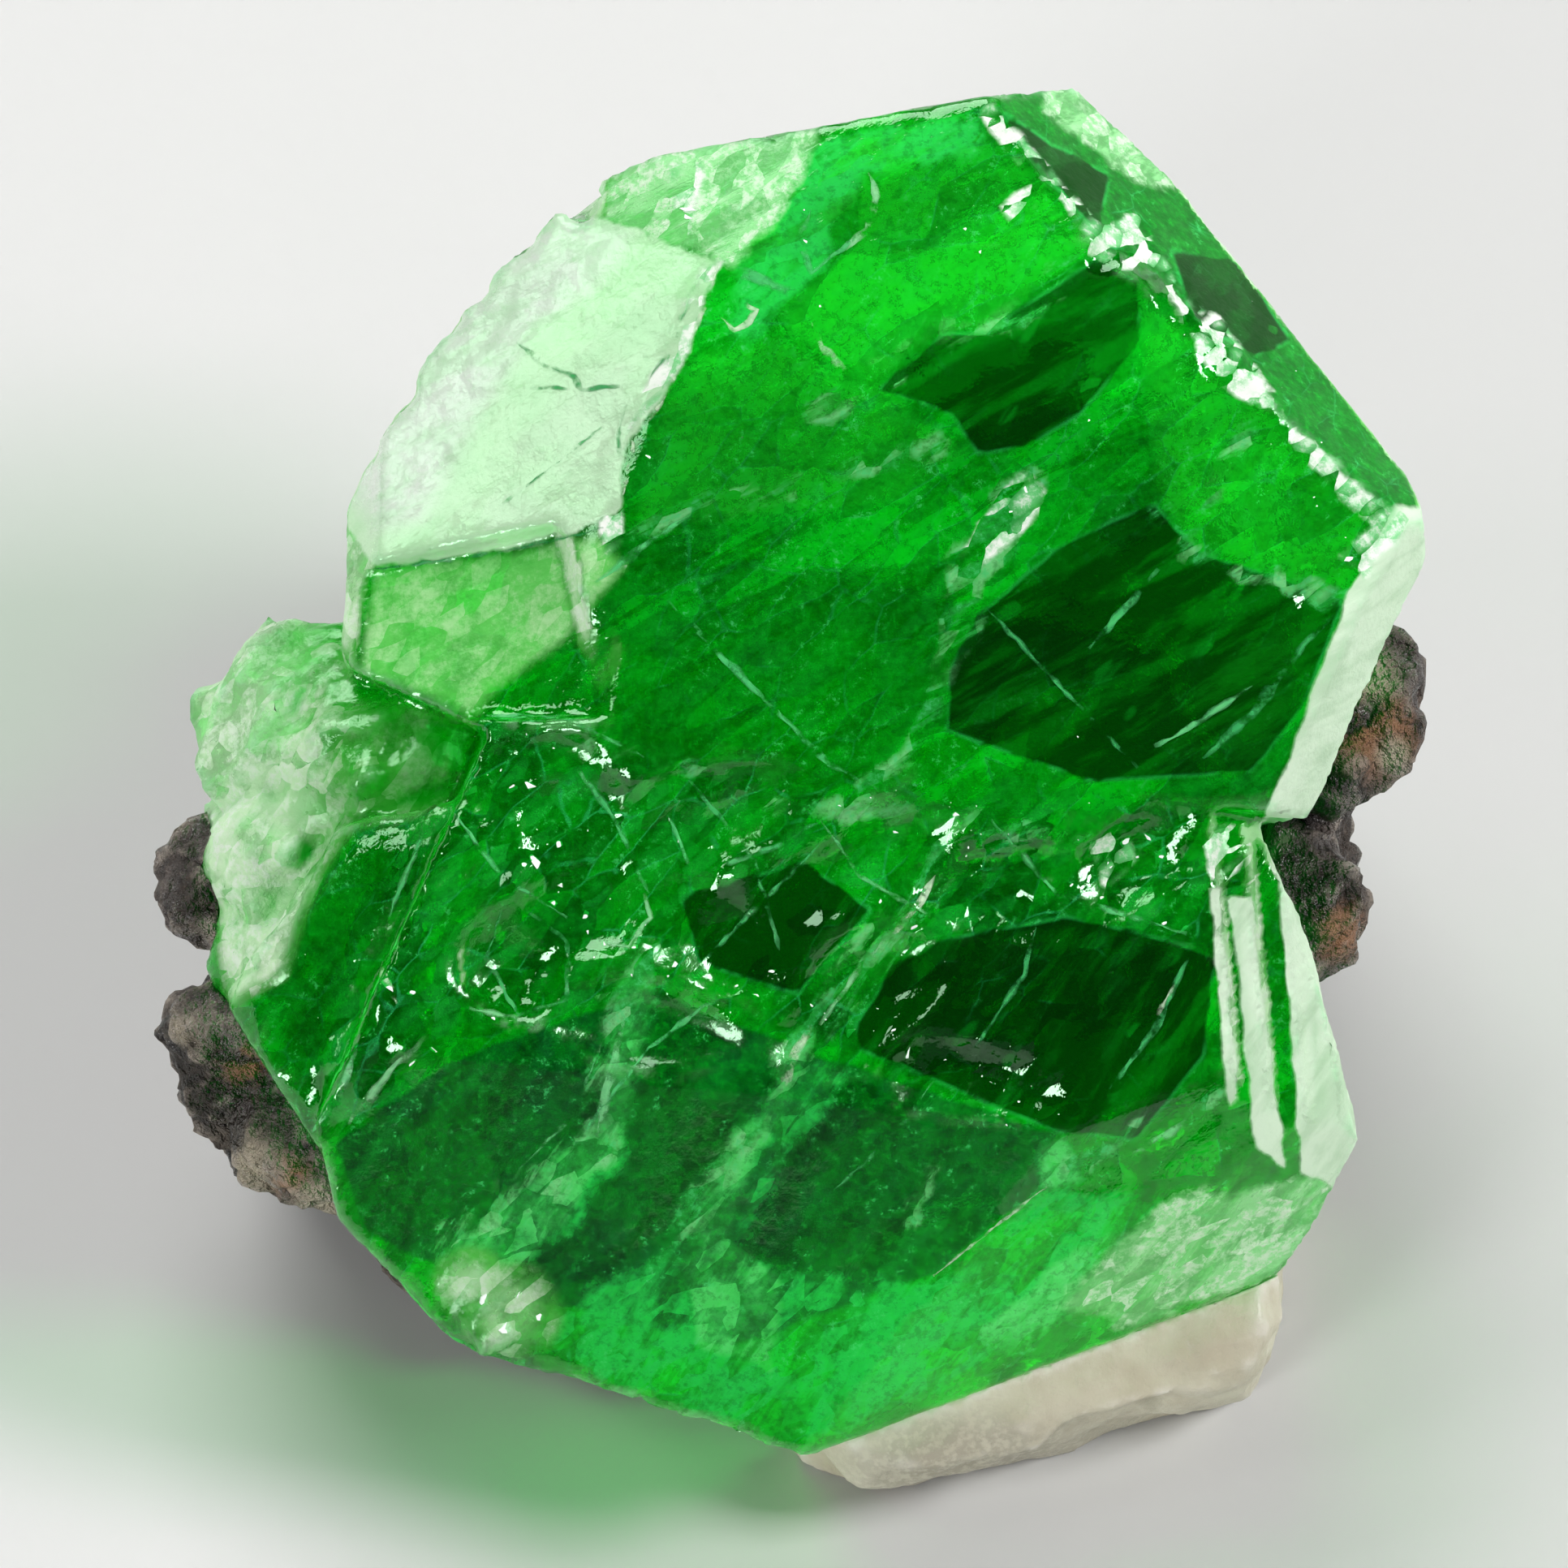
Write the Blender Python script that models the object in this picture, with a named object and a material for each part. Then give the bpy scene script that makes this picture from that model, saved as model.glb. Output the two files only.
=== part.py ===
"""Tsavorite garnet on the remains of its rock: one crystal group and two kinds of matrix.

The solids are drawn in the show frame, in millimetres: u to the right, v up and w towards a viewer
who faces the show side, from the middle of the specimen. lay_down() then turns each solid onto its
flat base, in metres with +Z up: the show side leans back from straight up by SHOW_LEAN.
"""
import math

import bmesh
import bpy
from mathutils import Matrix, Vector, noise

# Driving dimensions, in millimetres unless they say otherwise
MM = 0.001
GAP = 0.34                      # clear space between the garnet and each rock
SHOW_LEAN = math.radians(30)    # how far the show side leans from facing straight up
BASE_DEPTH = 8.3                # from the middle of the specimen down to its flat base
BLOCK_REACH = 40.0              # half size of the raw block that the crystal faces cut

FRONT_HEIGHT = 5.2              # the main face stands this far in front of the middle
UPPER_BACK = -4.6
LOWER_BACK = -3.2

LEDGE_INSET = 0.04              # each growth ledge stands back by this on its other sides

ROCK_GRID = 0.85                # mesh size of the rocks
ROCK_ROUGHNESS = 0.75           # height of the rock's lumps
ROCK_PITCH = 2.6                # distance between its lumps
SPAR_GRID = 0.95
SPAR_ROUGHNESS = 0.35
SPAR_PITCH = 3.4

CHIP_LENGTH = 2.6               # half length of the scoops out of the pale edge
CHIP_DEPTH = 0.6                # their middles lie this far under the pale face
SHELL_RISE = 1.4                # half thickness of the lens that leaves a shell of fracture
SHELL_UNEVENNESS = 0.12
PLATE_DEPTH = 0.3               # the cloudy face lies this far under the pale one

CRYSTAL_GREEN = (0.02, 0.42, 0.05)
GRAPHITE_GREY = (0.07, 0.06, 0.06)
CALCITE_CREAM = (0.55, 0.50, 0.42)

# Points on the show side, as (u, v)
TOP_LEFT = (-2.8, 11.5)
TOP_TIP = (5.3, 13.0)
SHOULDER = (7.2, 11.2)
RIGHT_TIP = (11.8, 5.3)
RIDGE_TOP = (5.75, 10.0)
RIGHT_CORNER = (11.3, 4.9)
STRIP_FOOT = (8.85, -0.8)
NOTCH = (9.65, -0.65)
PALE_TOP = (-1.2, 9.6)
PALE_FOOT = (-3.0, 5.0)
STEP_LEFT = (-7.6, 4.0)
LEFT_SHOULDER = (-8.05, 5.3)
SEAM_LEFT = (-5.5, 1.0)
HAZE_LEFT = (-6.1, -5.0)
HAZE_RIGHT = (5.0, -6.4)
BOTTOM_TIP = (0.4, -12.5)


class Face:
    """A flat crystal face: a point on it and its outward direction."""

    def __init__(self, point, outward):
        self.point = Vector(point)
        self.outward = Vector(outward).normalized()

    def at(self, place):
        """The point of this face in front of a place (u, v) of the show side."""
        u, v = place
        slope = self.outward.x * (u - self.point.x) + self.outward.y * (v - self.point.y)
        return Vector((u, v, self.point.z - slope / self.outward.z))

    def fold(self, start, end, degrees):
        """The next face, on the right of someone who walks this face from start to end."""
        first = self.at(start)
        axis = (self.at(end) - first).normalized()
        return Face(first, Matrix.Rotation(math.radians(degrees), 3, axis) @ self.outward)

    def rim(self, start, end, degrees):
        """A side face through the same walk, at an angle from facing the viewer."""
        first = self.at(start)
        axis = (self.at(end) - first).normalized()
        facing = Vector((0, 0, 1))
        facing = (facing - axis * facing.dot(axis)).normalized()
        return Face(first, Matrix.Rotation(math.radians(degrees), 3, axis) @ facing)

    def moved(self, distance):
        return Face(self.point + self.outward * distance, self.outward)


def clear_scene():
    for obj in list(bpy.data.objects):
        bpy.data.objects.remove(obj, do_unlink=True)


def new_object(name, bm):
    """A new object with the triangulated mesh of bm, which is freed."""
    bmesh.ops.triangulate(bm, faces=bm.faces[:])
    mesh = bpy.data.meshes.new(name)
    bm.to_mesh(mesh)
    bm.free()
    obj = bpy.data.objects.new(name, mesh)
    bpy.context.scene.collection.objects.link(obj)
    return obj


def block(name, faces, grow=0.0):
    """The convex solid inside all the faces, each moved out by grow."""
    bm = bmesh.new()
    bmesh.ops.create_cube(bm, size=2 * BLOCK_REACH)
    for face in faces:
        cut = bmesh.ops.bisect_plane(
            bm,
            geom=bm.verts[:] + bm.edges[:] + bm.faces[:],
            dist=1e-6,
            plane_co=face.point + face.outward * grow,
            plane_no=face.outward,
            clear_outer=True,
        )
        rim = [part for part in cut["geom_cut"] if isinstance(part, bmesh.types.BMEdge)]
        bmesh.ops.holes_fill(bm, edges=rim, sides=0)
    bmesh.ops.recalc_face_normals(bm, faces=bm.faces[:])
    return new_object(name, bm)


def lump(name, centre, radii, grow=0.0, rough=0.0, turn=0.0, detail=3, seed=0.0):
    """A rounded grain: an ellipsoid with uneven bumps."""
    bm = bmesh.new()
    bmesh.ops.create_icosphere(bm, subdivisions=detail, radius=1.0)
    spin = Matrix.Rotation(math.radians(turn), 3, "Z")
    for vert in bm.verts:
        way = vert.co.normalized()
        bump = rough * noise.noise(way * 2.3 + Vector((seed, 0.37, 1.9)))
        size = Vector([radius * (1.0 + bump) + grow for radius in radii])
        vert.co = Vector(centre) + spin @ Vector([a * b for a, b in zip(way, size)])
    return new_object(name, bm)


def combine(obj, others, operation):
    """Joins others to obj, or cuts them from it, and removes them."""
    for other in others:
        step = obj.modifiers.new(operation.lower(), "BOOLEAN")
        step.operation = operation
        step.solver = "EXACT"
        step.object = other
    graph = bpy.context.evaluated_depsgraph_get()
    mesh = bpy.data.meshes.new_from_object(obj.evaluated_get(graph))
    obj.modifiers.clear()
    obj.data = mesh
    for other in others:
        bpy.data.objects.remove(other, do_unlink=True)
    return obj


def drop_crumbs(obj):
    """Keeps only the largest body of a solid."""
    bm = bmesh.new()
    bm.from_mesh(obj.data)
    bodies = []
    waiting = set(bm.verts)
    while waiting:
        body = set()
        edge = [waiting.pop()]
        while edge:
            vert = edge.pop()
            body.add(vert)
            near = {link.other_vert(vert) for link in vert.link_edges} & waiting
            waiting -= near
            edge.extend(near)
        bodies.append(body)
    bodies.sort(key=len)
    crumbs = [vert for body in bodies[:-1] for vert in body]
    bmesh.ops.delete(bm, geom=crumbs, context="VERTS")
    bm.to_mesh(obj.data)
    bm.free()
    return obj


def show_faces():
    """The faces that both crystals share or start from."""
    main = Face((2.0, 4.5, FRONT_HEIGHT), (0.03, 0.02, 1.0))
    pale = main.fold(PALE_TOP, PALE_FOOT, 26)
    lower = main.fold(SEAM_LEFT, NOTCH, 7)
    return main, pale, lower


def upper_crystal(grow=0.0):
    main, pale, _ = show_faces()
    top = main.fold(RIDGE_TOP, PALE_TOP, 22)
    right = main.fold((10.3, 3.4), (5.75, 9.6), 9)
    band = right.fold(RIGHT_CORNER, RIDGE_TOP, 50)
    strip = main.fold(STRIP_FOOT, RIGHT_CORNER, 56)
    left_edge = pale.fold((-7.45, 5.6), (-7.65, 1.5), 36)
    faces = [
        main,
        pale,
        top,
        right,
        band,
        strip,
        left_edge,
        top.rim(TOP_TIP, TOP_LEFT, 93),
        band.rim(RIGHT_TIP, SHOULDER, 92),
        band.rim(SHOULDER, TOP_TIP, 94),
        strip.rim(NOTCH, (11.84, 4.2), 97),
        strip.rim((11.84, 4.2), (11.8, 5.2), 95),
        pale.rim(TOP_LEFT, (-4.7, 10.2), 94),
        pale.rim((-4.7, 10.2), (-6.65, 7.85), 94),
        pale.rim((-6.65, 7.85), LEFT_SHOULDER, 94),
        left_edge.rim((-8.1, 5.6), (-8.15, 1.5), 94),
        main.rim(SEAM_LEFT, NOTCH, 88),
        main.rim((-8.2, 2.1), (-5.4, 0.9), 92),
        Face((0, 0, UPPER_BACK), (0.1, 0.25, -1.0)),
        Face((-4.5, 5.0, UPPER_BACK), (-1.0, 0.3, -0.9)),
        Face((7.0, 5.0, UPPER_BACK), (1.0, 0.35, -1.0)),
    ]
    return block("upper_crystal", faces, grow)


def lower_faces(sink=0.0, reach=0.0, inset=0.0):
    """The lower crystal's faces, its front sunk and its right side moved out for a growth step."""
    _, _, front = show_faces()
    haze = front.fold(HAZE_LEFT, HAZE_RIGHT, 20)
    foot = haze.fold(BOTTOM_TIP, (5.0, -6.5), 14)
    brow = foot.fold((0.5, -12.3), (7.1, -7.9), 18)
    side = front.fold((8.33, -6.2), (7.9, -1.6), 62)
    wide = front.fold((9.65, -6.9), (9.06, -1.4), 50)
    others = [
        haze,
        foot,
        brow,
        wide,
        wide.rim((10.72, -6.4), (9.75, -2.6), 93),
        wide.rim((9.9, -3.2), (9.1, -1.3), 93),
        front.rim((10.0, -1.2), (-9.0, 2.2), 70),
        front.rim((-5.3, 1.2), (-8.6, -6.2), 88),
        brow.rim(BOTTOM_TIP, (9.3, -9.15), 92),
        brow.rim((9.2, -9.2), (10.75, -6.6), 92),
        haze.rim((-6.2, -10.25), BOTTOM_TIP, 97),
        haze.rim((-8.35, -7.9), (-6.2, -10.25), 95),
        haze.rim((-8.75, -6.0), (-8.25, -8.0), 94),
        Face((0, -5.0, LOWER_BACK), (0.0, -0.2, -1.0)),
        Face((-5.0, -6.0, LOWER_BACK), (-0.8, -0.3, -1.0)),
    ]
    return [front.moved(-sink), side.moved(reach)] + [face.moved(-inset) for face in others]


def lower_crystal(grow=0.0):
    """The lower block, with stepped growth ledges along its right side."""
    steps = [(0.0, 0.0), (0.4, 0.34), (0.85, 0.72), (1.25, 1.15)]
    blocks = []
    for index, (sink, reach) in enumerate(steps):
        faces = lower_faces(sink, reach, LEDGE_INSET * index)
        blocks.append(block(f"lower_{index}", faces, grow))
    return combine(blocks[0], blocks[1:], "UNION")


def bulge(grow=0.0):
    """The dark glassy swelling at the left of the lower block."""
    front = Face((-7.0, -3.0, 4.0), (-0.36, -0.08, 1.0))
    faces = [
        front,
        front.fold((-8.4, -1.2), (-9.6, -4.6), 22),
        front.fold((-9.2, -5.4), (-6.2, -4.5), 24),
        front.fold((-5.6, -0.9), (-8.2, -1.6), 14),
        front.rim((-8.4, -1.2), (-10.3, -4.1), 86),
        front.rim((-10.3, -4.1), (-8.6, -6.8), 90),
        front.rim((-8.7, -6.75), (-6.3, -4.5), 82),
        front.rim((-6.3, -4.5), (-5.0, -0.4), 84),
        front.rim((-5.0, -0.2), (-8.5, -0.9), 84),
        Face((0, 0, -2.4), (-0.1, 0.0, -1.0)),
    ]
    return block("bulge", faces, grow)


def pale_lobe(grow=0.0):
    """The frosted garnet grown on the left, as lumps run together."""
    lumps = [
        lump("lobe_a", (-8.9, 1.15, 0.2), (2.05, 1.85, 1.9), grow, 0.30, 20, 3, 1.0),
        lump("lobe_b", (-7.2, 0.3, 0.7), (2.4, 1.9, 2.6), grow, 0.22, -10, 3, 2.0),
        lump("lobe_c", (-9.2, -1.3, 0.0), (1.6, 1.8, 2.0), grow, 0.30, 0, 3, 3.0),
        lump("lobe_d", (-9.3, -3.3, 0.0), (1.25, 1.4, 1.7), grow, 0.28, 15, 3, 4.0),
    ]
    return combine(lumps[0], lumps[1:], "UNION")


def grain(grow=0.0):
    """The small pale crystal on the lower left edge."""
    centre = Vector((-5.2, -9.75, 2.2))
    turn = Matrix.Rotation(math.radians(24), 3, "Z") @ Matrix.Rotation(math.radians(20), 3, "X")
    faces = []
    for axis, half in (((1, 0, 0), 0.72), ((0, 1, 0), 0.48), ((0, 0, 1), 0.62)):
        for sign in (-1, 1):
            outward = turn @ Vector(axis) * sign
            faces.append(Face(centre + outward * half, outward))
    faces.append(Face(centre + Vector((0.5, 0.3, 0.25)), (1.0, 0.5, 1.0)))
    return block("grain", faces, grow)


def crystal_bodies(grow=0.0):
    return [
        upper_crystal(grow),
        lower_crystal(grow),
        bulge(grow),
        pale_lobe(grow),
        grain(grow),
    ]


def crystal_cutters():
    """What is broken out of the crystal: the plate edge, chips, shells of fracture and a crack."""
    main, pale, lower = show_faces()
    cutters = []
    sunk = pale.moved(-PLATE_DEPTH).fold(STEP_LEFT, PALE_FOOT, 6)
    cutters.append(
        block(
            "plate_edge",
            [
                Face(sunk.point, -sunk.outward),
                pale.rim(PALE_FOOT, STEP_LEFT, 86),
                Face((-9.5, 0, 0), (-1, 0, 0)),
                Face((-2.9, 0, 0), (1, 0.25, 0)),
                Face((0, 1.2, 0), (0, -1, 0)),
                Face((0, 0, 12), (0, 0, 1)),
            ],
        )
    )
    # u, v and radius of each scoop
    chips = [
        (-3.75, 10.75, 0.42),
        (-4.85, 10.1, 0.3),
        (-5.75, 9.2, 0.36),
        (-6.35, 8.5, 0.3),
        (-7.15, 7.3, 0.4),
        (-7.75, 6.2, 0.3),
    ]
    for index, (u, v, radius) in enumerate(chips):
        middle = (u, v, pale.at((u, v)).z - CHIP_DEPTH)
        cutters.append(lump(f"chip_{index}", middle, (radius, radius, CHIP_LENGTH), detail=2))
    # the face it is in, u, v, half width, half height, depth and turn in degrees of each shell
    shells = [
        (main, -4.5, 2.1, 2.1, 1.3, 0.50, 30),
        (lower, -4.5, -0.4, 2.3, 1.5, 0.50, -25),
        (lower, -3.6, -2.3, 2.1, 1.2, 0.50, 35),
        (lower, -4.9, -3.4, 1.15, 1.1, 0.62, 0),
        (lower, -1.7, -0.9, 2.5, 1.1, 0.40, 12),
        (lower, -1.3, -2.8, 2.3, 1.1, 0.45, -28),
        (lower, -2.4, -4.5, 1.9, 0.9, 0.40, -12),
        (lower, 1.2, -1.7, 2.4, 1.2, 0.38, 24),
        (lower, 1.2, -4.2, 2.1, 1.2, 0.42, 42),
        (lower, 4.4, -2.1, 2.5, 1.0, 0.36, -10),
        (lower, 6.3, -1.7, 1.6, 0.9, 0.42, 30),
        (lower, 3.6, -5.6, 1.9, 0.8, 0.30, -10),
        (main, 8.1, 7.7, 1.0, 0.42, 0.34, -43),
        (main, 5.9, 9.75, 0.42, 0.34, 0.30, 0),
        (main, 9.9, 3.6, 0.75, 0.40, 0.22, 62),
    ]
    for index, (face, u, v, wide, high, deep, turn) in enumerate(shells):
        centre = (u, v, face.at((u, v)).z + SHELL_RISE - deep)
        # a lens sunk this deep into the face leaves a dish smaller than itself
        spread = 1.0 / math.sqrt(1.0 - ((SHELL_RISE - deep) / SHELL_RISE) ** 2)
        radii = (wide * spread, high * spread, SHELL_RISE)
        shell = lump(f"shell_{index}", centre, radii, 0.0, SHELL_UNEVENNESS, turn, 3, index * 1.7)
        cutters.append(shell)
    crack = block(
        "crack",
        [
            Face((8.0, -0.95, 3.8), (0.08, -1.0, 0.35)),
            Face((8.0, -0.72, 3.8), (-0.08, 1.0, 0.25)),
            Face((6.3, 0, 0), (-1, 0, 0)),
            Face((14, 0, 0), (1, 0, 0)),
            Face((0, 0, 2.6), (0, 0, -1)),
            Face((0, 0, 12), (0, 0, 1)),
        ],
    )
    cutters.append(crack)
    return cutters


def base_face():
    """The flat base that the specimen rests on."""
    down = Vector((0, -math.sin(SHOW_LEAN), -math.cos(SHOW_LEAN)))
    return Face(down * BASE_DEPTH, down)


def rock_blank(name, blocks, grid, roughness, pitch, seed):
    """Blocks run together into one rough stone."""
    stone = combine(blocks[0], blocks[1:], "UNION")
    stone.name = name
    remesh = stone.modifiers.new("grid", "REMESH")
    remesh.mode = "VOXEL"
    remesh.voxel_size = grid
    remesh.use_smooth_shade = False
    combine(stone, [], "UNION")
    bm = bmesh.new()
    bm.from_mesh(stone.data)
    bm.normal_update()
    shift = Vector((seed, seed * 0.7, -seed))
    moves = []
    for vert in bm.verts:
        place = vert.co / pitch + shift
        lumps = noise.fractal(place, 0.9, 2.1, 4)
        ledge = noise.noise(Vector((place.x * 0.6, place.y * 0.6, place.z * 2.4)))
        moves.append(vert.normal * roughness * (lumps + 0.5 * round(ledge * 3) / 3))
    for vert, move in zip(bm.verts, moves):
        vert.co += move
    bmesh.ops.triangulate(bm, faces=bm.faces[:])
    bm.to_mesh(stone.data)
    bm.free()
    return stone


def spar_cell(grow=0.0):
    """The space that the cream spar fills, at the lower right."""
    faces = [
        Face((0.3, -9.0, -3.0), (-1.0, 0.05, 0.12)),
        Face((4.0, -6.6, -3.0), (-0.25, 1.0, 0.0)),
        Face((0, 0, 9), (0, 0, 1)),
    ]
    return block("spar_cell", faces, grow)


def graphite_matrix():
    core = block(
        "core",
        [
            Face((0, 0, 0.2), (0, 0, 1)),
            Face((-9.9, -3.0, -1.0), (-1.0, 0.1, -0.1)),
            Face((-7.6, 2.6, -2.0), (-0.8, 0.8, -0.2)),
            Face((0.0, 7.2, -3.0), (0.05, 1.0, -0.25)),
            Face((9.0, 4.0, -2.0), (0.9, 0.5, -0.3)),
            Face((9.6, -2.0, -1.5), (1.0, -0.05, -0.1)),
            Face((5.0, -10.4, -2.0), (0.2, -1.0, 0.0)),
            Face((-3.5, -10.7, -2.0), (-0.3, -1.0, 0.0)),
            Face((-8.6, -7.2, -2.0), (-0.9, -0.8, 0.0)),
            base_face().moved(1.5),
        ],
    )
    knobs = [
        lump("knob_a", (-10.4, -1.7, -0.8), (1.35, 1.35, 1.9), 0, 0.2, 10, 3, 5.0),
        lump("knob_b", (-10.3, -4.9, -0.8), (1.5, 1.25, 1.9), 0, 0.2, 30, 3, 6.0),
        lump("knob_c", (-9.1, -6.6, -0.8), (1.9, 1.0, 1.9), 0, 0.2, -35, 3, 7.0),
        lump("knob_d", (10.0, 1.2, -0.8), (1.5, 2.0, 2.4), 0, 0.2, -25, 3, 8.0),
        lump("knob_e", (9.5, -2.3, -0.8), (1.35, 1.5, 2.6), 0, 0.2, 10, 3, 9.0),
    ]
    stone = rock_blank("graphite_matrix", [core, *knobs], ROCK_GRID, ROCK_ROUGHNESS, ROCK_PITCH, 3.1)
    floor = Face(base_face().point, -base_face().outward)
    combine(stone, crystal_bodies(GAP), "DIFFERENCE")
    combine(stone, [block("under", [floor]), spar_cell(GAP)], "DIFFERENCE")
    return drop_crumbs(stone)


def calcite_matrix():
    body = block(
        "body",
        [
            Face((5.0, -10.6, 0.7), (0.1, -0.3, 1.0)),
            Face((9.15, -9.6, 0.0), (1.0, -0.25, 0.1)),
            Face((8.8, -11.4, 0.0), (0.8, -0.9, 0.0)),
            Face((6.0, -12.0, 0.0), (0.3, -1.0, 0.1)),
            Face((1.8, -12.85, 0.0), (0.0, -1.0, 0.1)),
            Face((-0.3, -12.2, 0.0), (-0.6, -1.0, 0.1)),
            Face((0, -6.0, 0), (0, 1, 0)),
            Face((9.3, -7.0, -1.5), (1.0, 0.1, 0.0)),
            base_face().moved(1.5),
        ],
    )
    stone = rock_blank("calcite_matrix", [body], SPAR_GRID, SPAR_ROUGHNESS, SPAR_PITCH, 8.3)
    floor = Face(base_face().point, -base_face().outward)
    combine(stone, crystal_bodies(GAP), "DIFFERENCE")
    combine(stone, [block("under", [floor])], "DIFFERENCE")
    combine(stone, [spar_cell()], "INTERSECT")
    return drop_crumbs(stone)


def tsavorite_crystal():
    bodies = crystal_bodies()
    crystal = combine(bodies[0], bodies[1:], "UNION")
    crystal.name = "tsavorite_crystal"
    combine(crystal, crystal_cutters(), "DIFFERENCE")
    return drop_crumbs(crystal)


def finish(obj, colour, roughness, transmission=0.0):
    """Gives the solid its plain material."""
    material = bpy.data.materials.new(obj.name)
    material.use_nodes = True
    shader = material.node_tree.nodes["Principled BSDF"]
    shader.inputs["Base Color"].default_value = (*colour, 1.0)
    shader.inputs["Roughness"].default_value = roughness
    shader.inputs["Metallic"].default_value = 0.0
    shader.inputs["Transmission Weight"].default_value = transmission
    obj.data.materials.clear()
    obj.data.materials.append(material)


def lay_down(objects):
    """Turns the show frame onto the flat base, in metres, centred over the origin."""
    turn = Matrix.Rotation(SHOW_LEAN, 4, "X")
    for obj in objects:
        obj.data.transform(Matrix.Scale(MM, 4) @ turn)
    corners = [vert.co for obj in objects for vert in obj.data.vertices]
    middle = [(min(c[i] for c in corners) + max(c[i] for c in corners)) / 2 for i in (0, 1)]
    shift = Matrix.Translation((-middle[0], -middle[1], BASE_DEPTH * MM))
    for obj in objects:
        obj.data.transform(shift)
        obj.data.update()


def main():
    clear_scene()
    crystal = tsavorite_crystal()
    graphite = graphite_matrix()
    calcite = calcite_matrix()
    finish(crystal, CRYSTAL_GREEN, 0.08, 0.9)
    finish(graphite, GRAPHITE_GREY, 0.6)
    finish(calcite, CALCITE_CREAM, 0.55)
    lay_down([crystal, graphite, calcite])


main()
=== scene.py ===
import math

import bmesh
import bpy
import numpy as np
from mathutils import Matrix, Vector, noise
from mathutils.bvhtree import BVHTree


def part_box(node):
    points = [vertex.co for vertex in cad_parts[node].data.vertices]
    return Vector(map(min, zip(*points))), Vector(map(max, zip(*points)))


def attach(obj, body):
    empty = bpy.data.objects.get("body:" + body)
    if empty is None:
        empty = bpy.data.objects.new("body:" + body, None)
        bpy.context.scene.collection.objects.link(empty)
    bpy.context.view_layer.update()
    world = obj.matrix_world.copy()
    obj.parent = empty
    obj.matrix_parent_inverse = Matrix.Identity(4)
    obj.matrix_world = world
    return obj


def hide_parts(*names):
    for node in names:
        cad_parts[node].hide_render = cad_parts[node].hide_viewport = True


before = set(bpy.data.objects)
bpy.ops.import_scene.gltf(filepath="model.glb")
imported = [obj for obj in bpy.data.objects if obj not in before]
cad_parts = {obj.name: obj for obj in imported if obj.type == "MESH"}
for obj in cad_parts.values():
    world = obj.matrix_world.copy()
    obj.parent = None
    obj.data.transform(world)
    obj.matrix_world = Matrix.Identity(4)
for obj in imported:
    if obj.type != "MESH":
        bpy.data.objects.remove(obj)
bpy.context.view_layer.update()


# Graphite matrix: the dark rock that the crystals grew out of, left as a crust behind and on both
# sides of them. It is graphite-rich gneiss, nearly black, with rusty and pinkish stains where it
# has weathered, and it broke from the wall with a hackly, lumpy face.
MIDDLE = np.array((-0.0826, 0.0326, 8.3))      # mm, the middle of the show side
LEAN = math.radians(30)                        # the show side leans back from straight up
SHOW_AXES = np.array((                         # right, up and towards the viewer
    (1, 0, 0),
    (0, math.cos(LEAN), math.sin(LEAN)),
    (0, -math.sin(LEAN), math.cos(LEAN)),
))
PICTURE_MIDDLE = 966                           # pixels
MM_PER_PIXEL = 0.015


def on_show_side(x, y):
    """A place of the show side, in mm right of and above its middle, from a place in the picture."""
    return (x - PICTURE_MIDDLE) * MM_PER_PIXEL, (PICTURE_MIDDLE - y) * MM_PER_PIXEL


def to_show(points):
    """Points in mm as right, up and towards the viewer of the show side."""
    return (points - MIDDLE) @ SHOW_AXES.T


def from_show(points):
    return points @ SHOW_AXES + MIDDLE


def smooth_between(values, low, high):
    """0 below low, 1 above high, and a smooth rise between them."""
    share = np.clip((values - low) / (high - low), 0, 1)
    return share * share * (3 - 2 * share)


def fine_copy(node, name, grid):
    """A new piece with the form of a CAD node in even small faces, for now in mm."""
    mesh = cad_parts[node].data.copy()
    mesh.transform(Matrix.Scale(1000, 4))
    mesh.materials.clear()
    piece = bpy.data.objects.new(name, mesh)
    bpy.context.scene.collection.objects.link(piece)
    remesh = piece.modifiers.new("fine", "REMESH")
    remesh.mode = "VOXEL"
    remesh.voxel_size = grid
    remesh.use_smooth_shade = True
    seen = piece.evaluated_get(bpy.context.evaluated_depsgraph_get())
    fine = bpy.data.meshes.new_from_object(seen)
    piece.modifiers.clear()
    piece.data = fine
    return piece


def vertex_values(mesh, what):
    values = np.zeros(len(mesh.vertices) * 3)
    mesh.vertices.foreach_get(what, values)
    return values.reshape(-1, 3)


def surface_of(mesh):
    """The place and the outward direction of every vertex."""
    return vertex_values(mesh, "co"), vertex_values(mesh, "normal")


def set_points(mesh, points):
    mesh.vertices.foreach_set("co", points.ravel())
    mesh.update()


def noise_start(seed):
    return Vector((seed * 7.31, seed * 3.17, seed * 5.93))


def lumps(points, per_mm, seed, layers=1):
    """Smooth noise from about -1 to 1 at each point, with that many lumps in a mm."""
    start = noise_start(seed)
    return np.array([
        noise.fractal(Vector(p) * per_mm + start, 1.0, 2.0, layers) for p in points
    ])


def crags(points, per_mm, seed):
    """Sharp-ridged noise up to 1, as on broken rock."""
    start = noise_start(seed)
    return np.array([
        1 - abs(noise.noise(Vector(p) * per_mm + start)) * 2 for p in points
    ])


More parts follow.
